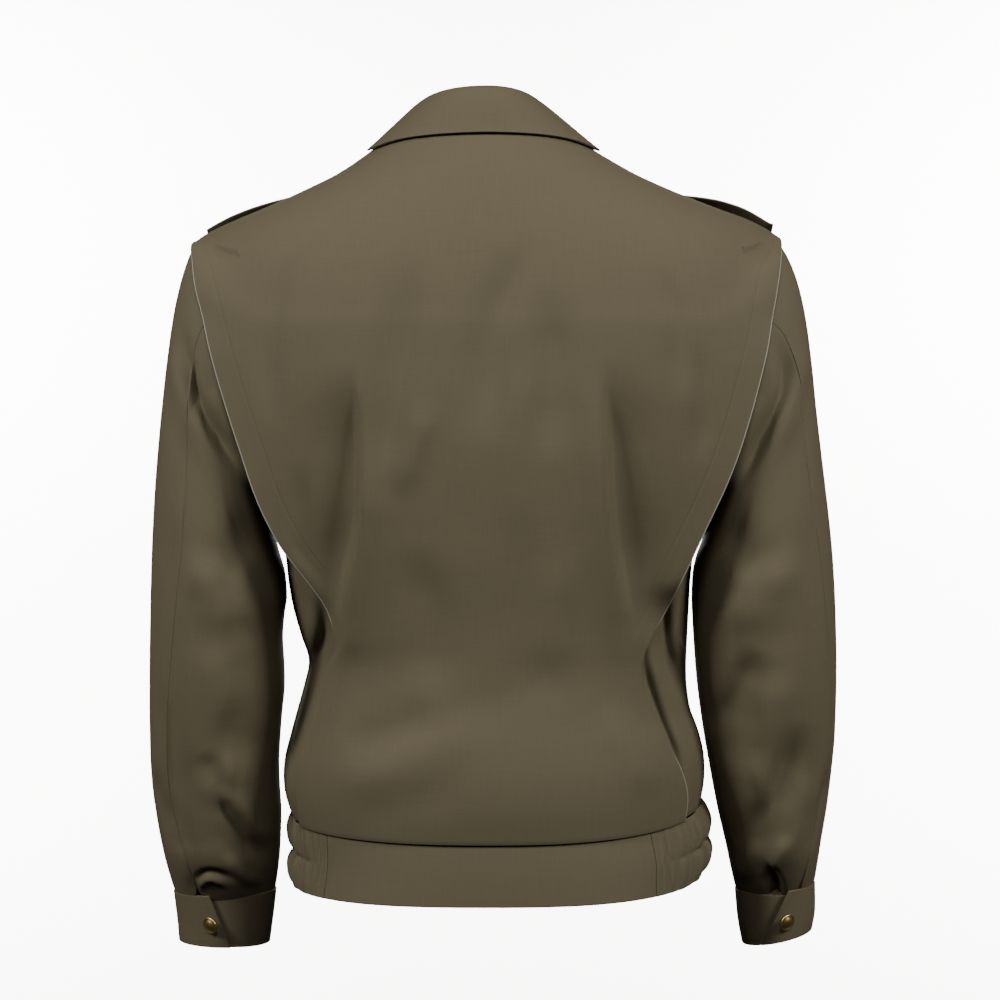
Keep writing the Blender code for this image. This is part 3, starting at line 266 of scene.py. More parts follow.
# Folds that the solid sleeves have too. Their x is the way round from the outer line, at 1.1 mm a degree.
ROUND_STEP = 1.1
SLEEVE_FOLDS = (
    (((30, -150), (100, -250)), 16, 16, -3.5, 0.0),
    (((70, -330), (150, -400)), 18, 18, -5.0, 0.0),
    (((150, -300), (95, -350)), 16, 16, 4.0, 0.0),
    (((-60, -380), (-150, -340)), 18, 18, -5.0, 0.0),
    (((110, -455), (165, -500)), 16, 16, 3.5, 0.0),
    (((100, -560), (130, -480)), 14, 14, -5.0, 0.0),
    (((25, -500), (60, -570)), 13, 13, 3.0, 0.0),
    (((-40, -520), (-110, -565)), 15, 15, -4.0, 0.0),
)
# Creases of the sleeves as seen from behind, and then from the front. x is positive on both sides.
SLEEVE_CREASES = {
    "left": (
        (((247, -140), (243, -180), (233, -208), (214, -240), (190, -276)), 7, 6, -8.5, 0.0),
        (((222, -196), (208, -224), (196, -246)), 6, 6, 2.4, 0.0),
        (((262, -200), (254, -270), (246, -340)), 9, 11, 1.8, 0.0),
        (((214, -330), (202, -370), (190, -410)), 10, 13, -3.2, 0.2),
        (((226, -400), (214, -440), (206, -480)), 12, 14, 2.2, 0.0),
        (((264, -430), (256, -490), (244, -545)), 9, 11, -2.4, 0.0),
        (((232, -488), (220, -512), (212, -530)), 9, 10, -2.6, 0.0),
        (((226, -516), (208, -550), (184, -588)), 9, 10, -7.0, 0.2),
        (((206, -520), (194, -550), (180, -572)), 7, 8, 3.4, 0.0),
        (((216, -572), (200, -592), (186, -604)), 6, 6, 2.6, 0.0),
        (((250, -560), (246, -585), (240, -604)), 6, 6, 2.0, 0.0),
        (((241, -602), (238, -594), (228, -588.5), (217, -591), (205, -600)), 2.8, 3.4, -2.8, 0.0),
        (((237, -609), (234, -599), (227.5, -594.5), (220, -597), (211, -604)), 2.6, 3.0, 2.4, 0.0),
    ),
    "right": (
        (((225, -150), (236, -190), (216, -238), (194, -284)), 7, 6, -8.0, 0.0),
        (((214, -200), (204, -226), (194, -250)), 6, 6, 2.2, 0.0),
        (((262, -190), (256, -260), (250, -330)), 9, 11, 1.6, 0.0),
        (((216, -404), (198, -440), (178, -478)), 12, 13, -6.0, 0.2),
        (((236, -420), (222, -466), (206, -500)), 13, 14, 2.4, 0.0),
        (((252, -462), (234, -516), (206, -574)), 12, 14, -7.0, 0.2),
        (((262, -500), (252, -546), (234, -588)), 8, 9, 2.6, 0.0),
        (((216, -560), (210, -585), (206, -604)), 6, 6, 2.4, 0.0),
        (((242, -556), (230, -580), (220, -598)), 6, 6, 3.0, 0.0),
        (((222, -576), (231, -591), (236, -603), (238, -630)), 4.0, 6.5, -8.5, -0.5),
    ),
}
SLEEVE_FRONT_CREASES = (
    (((250, -180), (234, -240), (210, -290)), 9, 12, -3.0, 0.0),
    (((226, -280), (208, -315), (186, -340)), 8, 10, 3.0, 0.0),
    (((236, -330), (212, -362), (184, -385)), 8, 10, -4.0, 0.2),
    (((240, -380), (212, -404), (180, -420)), 7, 9, 3.0, 0.0),
    (((256, -420), (226, -448), (190, -470)), 9, 9, -3.4, 0.0),
    (((250, -490), (224, -520), (196, -540)), 8, 9, 2.8, 0.0),
    (((246, -540), (224, -568), (200, -590)), 6, 7, -2.8, 0.0),
)
FRONT_CREASES = (
    (((150, -180), (138, -240), (120, -300)), 14, 18, -3.4, 0.0),
    (((120, -240), (112, -310), (96, -370)), 12, 16, 3.0, 0.0),
    (((60, -200), (54, -280), (52, -360)), 16, 20, -2.2, 0.0),
    (((146, -330), (134, -390), (110, -430)), 10, 13, -3.4, 0.2),
    (((120, -400), (96, -446), (60, -470)), 11, 14, 3.0, 0.0),
    (((140, -470), (110, -505), (70, -520)), 9, 12, -3.4, 0.0),
    (((110, -520), (74, -538), (40, -546)), 7, 9, 2.4, 0.0),
    (((40, -530), (26, -500), (16, -470)), 8, 10, 1.8, 0.0),
    (((150, -528), (138, -512), (120, -500)), 6, 8, 2.2, 0.0),
)

CUFF_TABLE_COLUMNS = ("outer_x", "outer_z", "inner_x", "inner_z", "half_depth", "middle_y")
CUFFS = {
    "left": (
        (262.5, -610.8, 178.5, -609.8, 43.5, -34),
        (260.0, -634, 181.5, -634, 42, -37),
        (258.5, -653, 184.5, -655, 41, -39),
    ),
    "right": (
        (269.5, -603.8, 204.5, -609.8, 43.5, -34),
        (270.0, -625, 207.0, -635, 42, -37),
        (267.5, -643, 211.0, -656, 41, -39),
    ),
}
CUFF_UNDERLAP = 38.0
CUFF_EDGE_TOP = 78.0
CUFF_EDGE_BOTTOM = {"left": 104.0, "right": 124.0}
CUFF_SETTLE = 70.0
UNDERLAP_DEPTH = {"left": 4.2, "right": 5.6}
UNDERLAP_DROP = 0.17
CUFF_COLUMNS = 40
CUFF_ROWS = 6

BAND_MIDDLE = (159.5, 176.5, -571, -560, -10, 102, -581.5, -121, -577.5, 2.6, 2.35)
HEM_RING = (161.0, 174.0, -597, -585, -10, 103, -606, -122, -603, 2.75, 2.4)
BAND_TOP = 2.0
BAND_PLAIN_BACK = {"left": 48.0, "right": 43.5}
BAND_PLAIN_FRONT = 137.0
GATHERS = 9
GATHER_HEIGHT = 1.5
CHANNEL_PUFF = 4.2
CHANNEL_DENT = 1.2
GATHER_EASE = 0.36
GATHER_ENDS = 0.1
SMALL_GATHERS = 31
SMALL_GATHER_HEIGHT = 0.75

STAND_BACK = (0.0, 58.0, 40.5)
STAND_SIDE = (50.0, -1.0, 27.0)
NECK_SHIFT = 8.5
STAND_FRONT = (7.0, -57.0, -64.0)
STAND_CLEAR = 2.6
ROLL_RADIUS = 2.6
ROLL_ROUND = 0.92
ROLL_FALL = 1.15
FALL_SWELL = 4.2
FALL_LIFT_BACK = 5.6
FALL_LIFT_SIDE = 4.0
FALL_LIFT_FRONT = 3.4
COLLAR_COLUMNS = 22
FALL_ROWS = (
    (0, 1.0, 0),
    (40, 1.05, 0),
    (65, 1.25, 0),
    (90, 0.5, 0),
    (130, 2.0, -3),
    (160, 3.6, -14),
    (176, 4.1, -26),
)

STRAP_OUTER_X = 233.0
STRAP_INNER_X = 112.0
STRAP_WIDTH = 46.0
STRAP_INNER_WIDTH = 38.0
STRAP_POINT = 12.0
STRAP_Y = -29.0
STRAP_LIFT = 2.2
STRAP_ARCH = {"left": 9.0, "right": 12.0}
ARCH_START = 0.17
ARCH_LENGTH = 0.98
ARCH_EARLY = 0.85
STRAP_BUTTON_X = 128.0
SHOULDER_FALL = (0.029, 0.037)
SHOULDER_FALL_POWER = 1.7

BUTTON_RADIUS = 7.2
BUTTON_CLEAR = 0.5
BUTTON_TIP = 1.6
BUTTON_LEAN = (0.55, 0.0, -0.25)
CUFF_BUTTON = {"left": (1.0, 80.0), "right": (1.1, 84.0)}

FRONT_EDGE = 6.0
TAPE_WIDTH = 12.0
TAPE_START = 0.6
TAPE_THICK = 1.0
TAPE_DEPTH = -2.1
CHAIN_WIDTH = 5.0
CHAIN_THICK = 2.0
CHAIN_DEPTH = -0.1
TOOTH_PITCH = 2.6

STITCH_PITCH = 2.6
STITCH_WIDTH = 0.45
STITCH_INSET = 5.0

# The studio, in metres. The floor curves up into the backdrop on the far side of the jacket.
FLOOR_Z = -1.45
SWEEP_HALF = 6.0
SWEEP_STEPS = 60
SWEEP_START = -2.6
SWEEP_BEND = 1.0
CAMERA_PLACE = (-0.0082, 2.2, -0.287)
CAMERA_LENS = 96.585
CAMERA_SENSOR = 36.0
WORLD_GLOW = 0.02
# Lights: name, place, what it points at, its width and its share of the light power. The first two are in
# pairs, one on each side. The backdrop lights face away from the jacket, and far_side lights the jacket's
# front, which the camera doesn't see.
PAIRED_LIGHTS = (
    ("key", (2.3, 1.55, 1.2), (0.0, 0.0, -0.3), 0.8, 1.0),
    ("backdrop", (1.5, -2.3, 0.2), (1.2, -3.3, 0.0), 2.0, 6.0),
)
SINGLE_LIGHTS = (
    ("front", (0.0, 2.5, 1.5), (0.0, 0.0, -0.2), 0.8, 0.45),
    ("far_side", (0.0, -2.2, 0.3), (0.0, 0.0, -0.3), 0.9, 0.6),
)

# Finishes
SERGE = "Wool serge, worsted twill"
BRASS = "Stamped brass, lacquered"
ZIP_METAL = "Zip metal, antique bronze"
TAPE = "Zip tape, woven cotton"
THREAD = "Sewing thread, spun polyester"

SIDES = {"left": 1.0, "right": -1.0}


# Curves and tables


def curve_through(knots, values, at):
    """A smooth curve through the values that never swings past them (a monotone cubic)."""
    knots, values = np.asarray(knots, float), np.asarray(values, float)
    step = np.diff(knots)
    slope = np.diff(values) / step
    tangent = np.concatenate([[slope[0]], np.zeros(len(slope) - 1), [slope[-1]]])
    for i in range(1, len(slope)):
        if slope[i - 1] * slope[i] > 0:
            before = 2 * step[i] + step[i - 1]
            after = step[i] + 2 * step[i - 1]
            tangent[i] = (before + after) / (before / slope[i - 1] + after / slope[i])
    at = np.clip(np.asarray(at, float), knots[0], knots[-1])
    i = np.clip(np.searchsorted(knots, at, side="right") - 1, 0, len(step) - 1)
    t = (at - knots[i]) / step[i]
    start = (1 + 2 * t) * (1 - t) ** 2 * values[i] + t * (1 - t) ** 2 * step[i] * tangent[i]
    end = t * t * (3 - 2 * t) * values[i + 1] - t * t * (1 - t) * step[i] * tangent[i + 1]
    return start + end


class Rows:
    """Rows with named columns, read at any place between rows by the row's number or its first column."""

    def __init__(self, columns, rows, keyed=False):
        self.columns = columns
        self.values = np.array(list(rows), float)
        self.keys = self.values[:, 0] if keyed else np.arange(len(self.values), dtype=float)

    def __call__(self, column, at):
        return curve_through(self.keys, self.values[:, self.columns.index(column)], at)


TORSO = Rows(RING_COLUMNS, RINGS.values())
BAND = Rows(RING_COLUMNS, (HEM_RING, BAND_MIDDLE, RINGS["band_seam"]))
EDGE = Rows(BACK_EDGE_COLUMNS, BACK_EDGE, keyed=True)
FALL = Rows(("angle", "down", "turn"), FALL_ROWS, keyed=True)
SLEEVE_TABLES = {side: Rows(SLEEVE_TABLE_COLUMNS, rows) for side, rows in SLEEVES.items()}
CUFF_TABLES = {side: Rows(CUFF_TABLE_COLUMNS, rows) for side, rows in CUFFS.items()}
LEVEL = {name: float(i) for i, name in enumerate(RINGS)}


def unit(v):
    return v / np.maximum(np.linalg.norm(v, axis=-1, keepdims=True), 1e-12)


def smooth(t):
    """0 below 0, 1 above 1 and a soft step between."""
    t = np.clip(t, 0, 1)
    return t * t * (3 - 2 * t)


def ring_point(rings, level, angle):
    """A point of a ring, by the angle round from the centre back, positive towards the wearer's left."""
    level, angle = np.broadcast_arrays(np.asarray(level, float), np.radians(np.asarray(angle, float)))
    sine, cosine = np.sin(angle), np.cos(angle)
    behind, left = cosine >= 0, sine >= 0

    def either(test, first, second):
        return np.where(test, rings(first, level), rings(second, level))

    square = either(behind, "back_square", "front_square")
    reach = (np.abs(sine) ** square + np.abs(cosine) ** square) ** (-1 / square)
    side_y = rings("side_y", level)
    side_z = either(left, "left_z", "right_z")
    towards = np.abs(reach * cosine)
    droop = np.where(behind, towards**BACK_DROOP, towards**FRONT_DROOP)
    x = either(left, "left_x", "right_x") * reach * sine
    y = side_y + (either(behind, "back_y", "front_y") - side_y) * towards
    z = side_z + (either(behind, "back_z", "front_z") - side_z) * droop
    return np.stack([x, y, z], axis=-1)


def path_through(points, count=24):
    """A smooth line through a few points of a plane."""
    points = np.asarray(points, float)
    run = np.concatenate([[0], np.cumsum(np.linalg.norm(np.diff(points, axis=0), axis=1))])
    at = np.linspace(0, run[-1], count)
    return np.stack([curve_through(run, points[:, k], at) for k in (0, 1)], axis=1)


def fold_height(rows, across, along):
    """The height of a table of folds at points given by two coordinates."""
    across, along = np.broadcast_arrays(np.asarray(across, float), np.asarray(along, float))
    total = np.zeros(across.shape)
    for path, width_start, width_end, height, lean in rows:
        line = path_through(path)
        reach = 2.6 * max(width_start, width_end)
        low, high = line.min(axis=0) - reach, line.max(axis=0) + reach
        near = (across > low[0]) & (across < high[0]) & (along > low[1]) & (along < high[1])
        if not near.any():
            continue
        point = np.stack([across[near], along[near]], axis=1)[:, None]
        step = (line[1:] - line[:-1])[None]
        length = np.linalg.norm(step, axis=2)
        t = np.clip(((point - line[:-1]) * step).sum(axis=2) / length**2, 0, 1)
        away = point - line[:-1] - t[..., None] * step
        gap = np.linalg.norm(away, axis=2)
        k = gap.argmin(axis=1)
        pick = np.arange(len(k))
        side = away[pick, k, 0] * step[0, k, 1] - away[pick, k, 1] * step[0, k, 0]
        share = (k + t[pick, k]) / (len(line) - 1)
        width = (width_start + (width_end - width_start) * share) * np.where(side > 0, 1 - lean, 1 + lean)
        fade = smooth(share / FOLD_FADE) * smooth((1 - share) / FOLD_FADE)
        total[near] += height * fade * np.exp(-((gap[pick, k] / width) ** 2))
    return total


def surface(rings, level, angle, lift=0.0):
    """A point on the torso or the waistband, raised off it by lift along the outward normal."""
    step_level, step_angle = 0.02, 0.5
    top = len(rings.keys) - 1
    level = np.asarray(level, float)
    point = ring_point(rings, level, angle)
    low = ring_point(rings, np.maximum(level - step_level, 0), angle)
    high = ring_point(rings, np.minimum(level + step_level, top), angle)
    along = ring_point(rings, level, angle + step_angle) - ring_point(rings, level, angle - step_angle)
    normal = unit(np.cross(high - low, along))
    return point + normal * (np.zeros(point.shape[:-1]) + lift)[..., None]


def angle_at_y(level, y):
    """The angle at which the torso's ring passes a depth y on the wearer's left."""
    side_y = TORSO("side_y", level)
    behind = y >= side_y
    reach = np.where(behind, TORSO("back_y", level), TORSO("front_y", level)) - side_y
    square = np.where(behind, TORSO("back_square", level), TORSO("front_square", level))
    share = np.clip((y - side_y) / reach, 0, 1)
    across = (1 - share**square) ** (1 / square)
    return np.degrees(np.arctan2(across, np.where(behind, share, -share)))


def angle_at_x(level, x, side):
    """The angle, behind the wearer, at which the torso's ring passes a width x."""
    square = TORSO("back_square", level)
    share = np.clip(x / TORSO(f"{side}_x", level), 0, 1)
    return np.degrees(np.arctan2(share, (1 - share**square) ** (1 / square)))


def level_at_side_z(z):
    return np.interp(z, TORSO.values[:, RING_COLUMNS.index("left_z")], TORSO.keys)


def armhole_levels():
    """Levels from the underarm to the shoulder tip, close together at both ends, and how open the hole is."""
    low, high = RINGS["underarm"][2], RINGS["shoulder_tip"][2]
    turn = np.linspace(math.pi, 0, ARMHOLE_STEPS + 1)
    heights = (low + high) / 2 + (high - low) / 2 * np.cos(turn)
    return level_at_side_z(heights), np.sin(turn) ** ARMHOLE_FULLNESS


ARM_LEVELS, ARM_OPEN = armhole_levels()
LOW_LEVELS = np.linspace(0.0, LEVEL["underarm"], LOW_ROWS + 1)[:-1]
SHOULDER_LEVELS = np.linspace(LEVEL["shoulder_tip"], LEVEL["neck"], SHOULDER_ROWS + 1)[1:]
BODY_LEVELS = np.concatenate([LOW_LEVELS, ARM_LEVELS, SHOULDER_LEVELS])


def armhole_angle(level, depth):
    openness = np.interp(level, ARM_LEVELS, ARM_OPEN, left=0.0, right=0.0)
    return angle_at_y(level, TORSO("side_y", level) + depth * openness)


def run_along(points):
    """How far each point is along its polyline."""
    steps = np.linalg.norm(np.diff(points, axis=0), axis=-1)
    return np.concatenate([np.zeros((1,) + steps.shape[1:]), np.cumsum(steps, axis=0)])


def evenly(points, count, start_gap=0.0, end_gap=0.0):
    """The polyline's points spaced evenly along its length, held back from its ends by the gaps."""
    run = run_along(points)
    at = np.linspace(start_gap, run[-1] - end_gap, count)
    return np.stack([np.interp(at, run, points[:, k]) for k in range(3)], axis=1)


def drawn_finer(points, count, crowd=1.0):
    """Rows of points on smooth curves through the given rows, count + 1 of them."""
    steps = run_along(points).mean(axis=1)
    knots = steps / steps[-1]
    step = np.diff(knots)[:, None, None]
    slope = np.diff(points, axis=0) / step
    tangent = np.empty_like(points)
    tangent[1:-1] = (slope[:-1] * step[1:] + slope[1:] * step[:-1]) / (step[:-1] + step[1:])
    tangent[0] = 1.5 * slope[0] - 0.5 * tangent[1]
    tangent[-1] = 1.5 * slope[-1] - 0.5 * tangent[-2]
    at = np.linspace(0, 1, count + 1) ** crowd
    i = np.clip(np.searchsorted(knots, at, side="right") - 1, 0, len(step) - 1)
    h = step[i]
    t = (at - knots[i])[:, None, None] / h
    start = (1 + 2 * t) * (1 - t) ** 2 * points[i] + t * (1 - t) ** 2 * h * tangent[i]
    return start + t * t * (3 - 2 * t) * points[i + 1] - t * t * (1 - t) * h * tangent[i + 1]


def fine_grid(points, rows, columns, crowd=1.0):
    """A grid of points drawn finer both ways, with its first rows closer together for a crowd above 1."""
    tall = drawn_finer(np.asarray(points, float), rows, crowd)
    return drawn_finer(tall.transpose(1, 0, 2), columns).transpose(1, 0, 2)


def grid_normals(points):
    """Normals that point to the right-handed side of a grid whose rows go up and columns go right."""
    across = np.gradient(points, axis=1)
    along = np.gradient(points, axis=0)
    return unit(np.cross(across, along))


def border_distance(points):
    """How far each point of a grid is from the nearest edge of its grid."""
    across, along = run_along(points.transpose(1, 0, 2)).T, run_along(points)
    to_sides = np.minimum(across, across[:, -1:] - across)
    return np.minimum(to_sides, np.minimum(along, along[-1:] - along))


def creased(points, outward, behind=(), before=(), sign=1.0, hold=BACK_HOLD):
    """A fine grid with creases seen from behind and from the front, fading out towards its edges."""
    normal = grid_normals(points) * outward
    fade = smooth(border_distance(points) / hold)
    x, z = points[..., 0] * sign, points[..., 2]
    height = fold_height(behind, x, z) * smooth(normal[..., 1] / 0.5)
    height = height + fold_height(before, x, z) * smooth(-normal[..., 1] / 0.5)
    return points + normal * (height * fade)[..., None]


def lowered(points, height):
    """Points moved forward, away from the back, by a height below 0, but held at the top and bottom rows."""
    run = run_along(points)
    ends = np.minimum(run, run[-1:] - run)
    moved = points.copy()
    moved[..., 1] += np.minimum(height, 0) * smooth(ends / SIDE_HOLD)
    return moved


def shoulder_softened(points, reach=9, passes=3):
    """The back's rows evened out below the shoulder, where the wing starts, but not along its edge."""
    z = points[..., 2]
    low, high = SHOULDER_SOFT
    share = smooth((z - low) / 30) * smooth((high - z) / 24) * smooth(border_distance(points) / 70)
    for _ in range(passes):
        padded = np.concatenate([points[:1]] * reach + [points] + [points[-1:]] * reach)
        window = 2 * reach + 1
        mean = sum(padded[k : k + len(points)] for k in range(window)) / window
        points = points + (mean - points) * share[..., None]
    return points


# Objects


def cloth_mesh(name, points):
    """A grid of quads at the points, in metres, with a UV map in metres along the threads."""
    points = np.asarray(points, float)
    rows, columns = points.shape[0] - 1, points.shape[1] - 1
    mesh = bpy.data.meshes.new(name)
    bm = bmesh.new()
    bmesh.ops.create_grid(bm, x_segments=columns, y_segments=rows, size=1.0)
    bm.to_mesh(mesh)
    bm.free()
    place = np.empty(len(mesh.vertices) * 3)
    mesh.vertices.foreach_get("co", place)
    place = place.reshape(-1, 3)
    j = np.rint((place[:, 0] + 1) / 2 * columns).astype(int)
    i = np.rint((place[:, 1] + 1) / 2 * rows).astype(int)
    mesh.vertices.foreach_set("co", (points[i, j] * MM).ravel())
    across = run_along(points.transpose(1, 0, 2)).T
    across = across - across[:, columns // 2][:, None]
    along = np.broadcast_to(run_along(points).mean(axis=1)[:, None], across.shape)
    uv = np.stack([across[i, j], along[i, j]], axis=1) * MM
    corner = np.empty(len(mesh.loops), int)
    mesh.loops.foreach_get("vertex_index", corner)
    layer = mesh.uv_layers.new(name="Threads")
    layer.data.foreach_set("uv", uv[corner].ravel())
    mesh.update()
    mesh.shade_smooth()
    return mesh, i, j


def add_object(name, mesh, look, nodes, body="jacket"):
    obj = bpy.data.objects.new(name, mesh)
    bpy.context.scene.collection.objects.link(obj)
    obj.data.materials.clear()
    obj.data.materials.append(look)
    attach(obj, body)
    if nodes:
        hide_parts(*nodes)
    return obj


def cloth(name, points, look, nodes, wall=None, values=None):
    """A wall of cloth round a grid of points, with softly rolled edges."""
    settings = bpy.context.scene.jacket_settings
    mesh, i, j = cloth_mesh(name, points)
    for key, grid in (values or {}).items():
        layer = mesh.attributes.new(key, "FLOAT", "POINT")
        layer.data.foreach_set("value", np.asarray(grid, float)[i, j])
    obj = add_object(name, mesh, look, nodes)
    thickness = settings.cloth_thickness if wall is None else wall * MM
    solidify = obj.modifiers.new("Wall", "SOLIDIFY")
    solidify.thickness = thickness
    solidify.offset = 0.0
    bevel = obj.modifiers.new("Rolled edge", "BEVEL")
    bevel.width = thickness * 0.4
    bevel.segments = 2
    bevel.limit_method = "ANGLE"
    bevel.angle_limit = math.radians(50)
    return obj


# Torso panels


def row_on_torso(level, start, end, columns, gaps=(SEAM_GAP / 2, SEAM_GAP / 2)):
    angles = np.linspace(start, end, 61)
    return evenly(surface(TORSO, np.full(61, level), angles), columns + 1, *gaps)


def front_points(side):
    sign = SIDES[side]
    rows = []
    for level in BODY_LEVELS:
        outer = sign * armhole_angle(level, -ARMHOLE_FRONT)
        edge = math.degrees(math.asin(FRONT_EDGE / float(TORSO(f"{side}_x", level))))
        rows.append(row_on_torso(level, outer, sign * (180 - edge), FRONT_COLUMNS, gaps=(SEAM_GAP / 2, 0)))
    rows[0][:, 2] += BAND_GAP / 2
    return np.array(rows)


def back_edge_point(level, side):
    """(angle on the torso, move to the edge) for the edge of the back panel at a level."""
    sign = SIDES[side]
    if level >= LEVEL["shoulder_tip"] - 1e-6:
        return float(angle_at_y(level, SHOULDER_LAP_Y)), np.zeros(3)
    half, side_y = float(TORSO(f"{side}_x", level)), float(TORSO("side_y", level))
    depth = float(TORSO("back_y", level)) - side_y
    angle = 60.0
    for _ in range(EDGE_PASSES):
        z = ring_point(TORSO, level, sign * angle)[2]
        x, y = float(EDGE(f"{side}_x", z)), float(EDGE("stand_y", z))
        seam = float(angle_at_x(level, x, side))
        on_torso = y <= ring_point(TORSO, level, seam)[1] + LAP
        aim = seam if on_torso else math.degrees(math.atan2(x / half, (y - side_y) / depth))
        angle += (aim - angle) / 2
    if on_torso:
        return angle, np.zeros(3)
    point = surface(TORSO, level, sign * angle, LAP)
    return angle, np.array([sign * x - point[0], y - point[1], 0.0])


def back_row(level, side):
    """Half a row of the back panel, from the centre back to its side edge, with a narrow last strip."""
    sign = SIDES[side]
    angle, flare = back_edge_point(level, side)
    angles = np.linspace(0, angle, 121)
    t = np.clip((angles / angle - FLARE_START) / (1 - FLARE_START), 0, 1)
    hold = RIDGE_HOLD - abs(level - LEVEL["shoulder_tip"]) / RIDGE_REACH
    lift = LAP + RIDGE_LIFT * max(RIDGE_LEAST, min(hold, 1)) * t * smooth((level - LEVEL["mid_armhole"]) / 2)
    points = surface(TORSO, np.full(121, level), sign * angles, lift) + (t**2)[:, None] * flare
    return np.concatenate([evenly(points, BACK_COLUMNS, end_gap=EDGE_STRIP), points[-1:]])


def back_points():
    rows = []
    for level in BODY_LEVELS:
        left, right = back_row(level, "left"), back_row(level, "right")
        rows.append(np.concatenate([left[::-1], right[1:]]))
    rows[0][:, 2] += BAND_GAP / 2
    return np.array(rows)


def side_points(side):
    """The side panel: under the wing at its inner edge, then round to the armhole and side seam."""
    sign = SIDES[side]
    top = LEVEL["shoulder_tip"] + 0.1
    rows = []
    for level in (level for level in BODY_LEVELS if level < top):
        outer = float(armhole_angle(level, ARMHOLE_BACK))
        edge_angle, _ = back_edge_point(level, side)
        edge = surface(TORSO, level, edge_angle)[0]
        under = np.interp(float(TORSO("back_z", level)), (-420, -340), (SEAM_LAP, PLEAT_DEPTH))
        inner = float(angle_at_x(level, max(edge - under, 60.0), side))
        inner = min(inner, outer - 8.0)
        angles = np.linspace(outer, inner, 61)
        sink = np.clip((outer - angles) / (outer - min(edge_angle, outer - 4.0)), 0, 1) ** 2
        row = surface(TORSO, np.full(61, level), sign * angles, -UNDERLAY * sink)
        rows.append(evenly(row, SIDE_COLUMNS + 1, SEAM_GAP / 2, 0))
    rows[0][:, 2] += BAND_GAP / 2
    return np.array(rows)


# Sleeves and cuffs


def table_ring(table, station, angle, square=SLEEVE_SQUARE):
    """A point of a sleeve's or cuff's ring, by the angle round from its outer point towards the back."""
    station, turn = np.broadcast_arrays(np.asarray(station, float), np.radians(np.asarray(angle, float)))
    sine, cosine = np.sin(turn), np.cos(turn)
    reach = (np.abs(sine) ** square + np.abs(cosine) ** square) ** (-1 / square)
    outer_x, outer_z = table("outer_x", station), table("outer_z", station)
    inner_x, inner_z = table("inner_x", station), table("inner_z", station)
    across = reach * cosine
    x = (outer_x + inner_x) / 2 + across * (outer_x - inner_x) / 2
    z = (outer_z + inner_z) / 2 + across * (outer_z - inner_z) / 2
    y = table("middle_y", station) + reach * sine * table("half_depth", station)
    return np.stack([x, y, z], axis=-1)


def armhole_point(angle, side):
    """The armhole's edge on the torso, by the sleeve's angle: 0 is the shoulder tip and 90 the back."""
    share = abs(angle) / 180
    low, high = RINGS["underarm"][2], RINGS["shoulder_tip"][2]
    z = (low + high) / 2 + (high - low) / 2 * math.cos(math.pi * share)
    level = float(level_at_side_z(z))
    depth = ARMHOLE_BACK if angle > 0 else -ARMHOLE_FRONT
    y = float(TORSO("side_y", level)) + depth * math.sin(math.pi * share) ** ARMHOLE_FULLNESS
    return surface(TORSO, level, SIDES[side] * float(angle_at_y(level, y)))


def armhole_correction(table, angle, side):
    """The move from the sleeve table's first ring to the armhole's edge, clear of the torso's wall."""
    clear = 0.6 + 0.8 * (0.35 + 0.65 * math.sin(math.radians(abs(angle)) / 2) ** 2)
    edge = armhole_point(angle, side)
    edge[0] += SIDES[side] * clear
    first = table_ring(table, 0.0, angle)
    first[0] *= SIDES[side]
    return edge - first


def sleeve_surface(table, side, station, angle):
    """A point on a sleeve, with its large folds."""
    angle = float(angle)
    point = table_ring(table, station, angle)
    nearby = table_ring(table, station, angle + 1.0) - table_ring(table, station, angle - 1.0)
    last = len(table.keys) - 1
    above = table_ring(table, max(station - 0.05, 0), angle)
    down = table_ring(table, min(station + 0.05, last), angle) - above
    normal = unit(np.cross(nearby, down))
    turned = (angle + 180) % 360 - 180
    fade = min(1.0, max(0.0, station - 1.5) / 2) * min(1.0, (last - station) / 1.5)
    folds = fold_height(SLEEVE_FOLDS, np.array(turned * ROUND_STEP), np.array(point[2])) * fade
    point = point + normal * float(folds)
    point[0] *= SIDES[side]
    blend = max(0.0, 1 - station / ARMHOLE_BLEND) ** 2
    if blend > 0:
        point = point + blend * armhole_correction(table, turned, side)
    return point


def vent_gape(station, last, side):
    """Half the width of the open vent at the back seam."""
    start, end, width = VENTS[side]
    t = np.clip((station - last + start) / (start - end), 0, 1)
    return width / 2 * math.sin(math.pi * t) ** 2


def underlap_lift(side, angle):
    """How far the cuff's under layer lies inside its outer layer."""
    return -UNDERLAP_DEPTH[side] * (1 - float(smooth((angle - CUFF_UNDERLAP - 40) / CUFF_SETTLE)))


def tucked_in(side, station, last, angle, part):
    """The share and the place by which the sleeve's end turns in under the cuff's top edge."""
    share = float(smooth((station - last + TUCK_RINGS) / TUCK_RINGS))
    lift = underlap_lift(side, angle) if part == "under" else 0.0
    station = TUCK_STATION - UNDERLAP_DROP * lift / UNDERLAP_DEPTH[side]
    return share, cuff_point(CUFF_TABLES[side], side, station, angle, lift - TUCK_DEPTH)


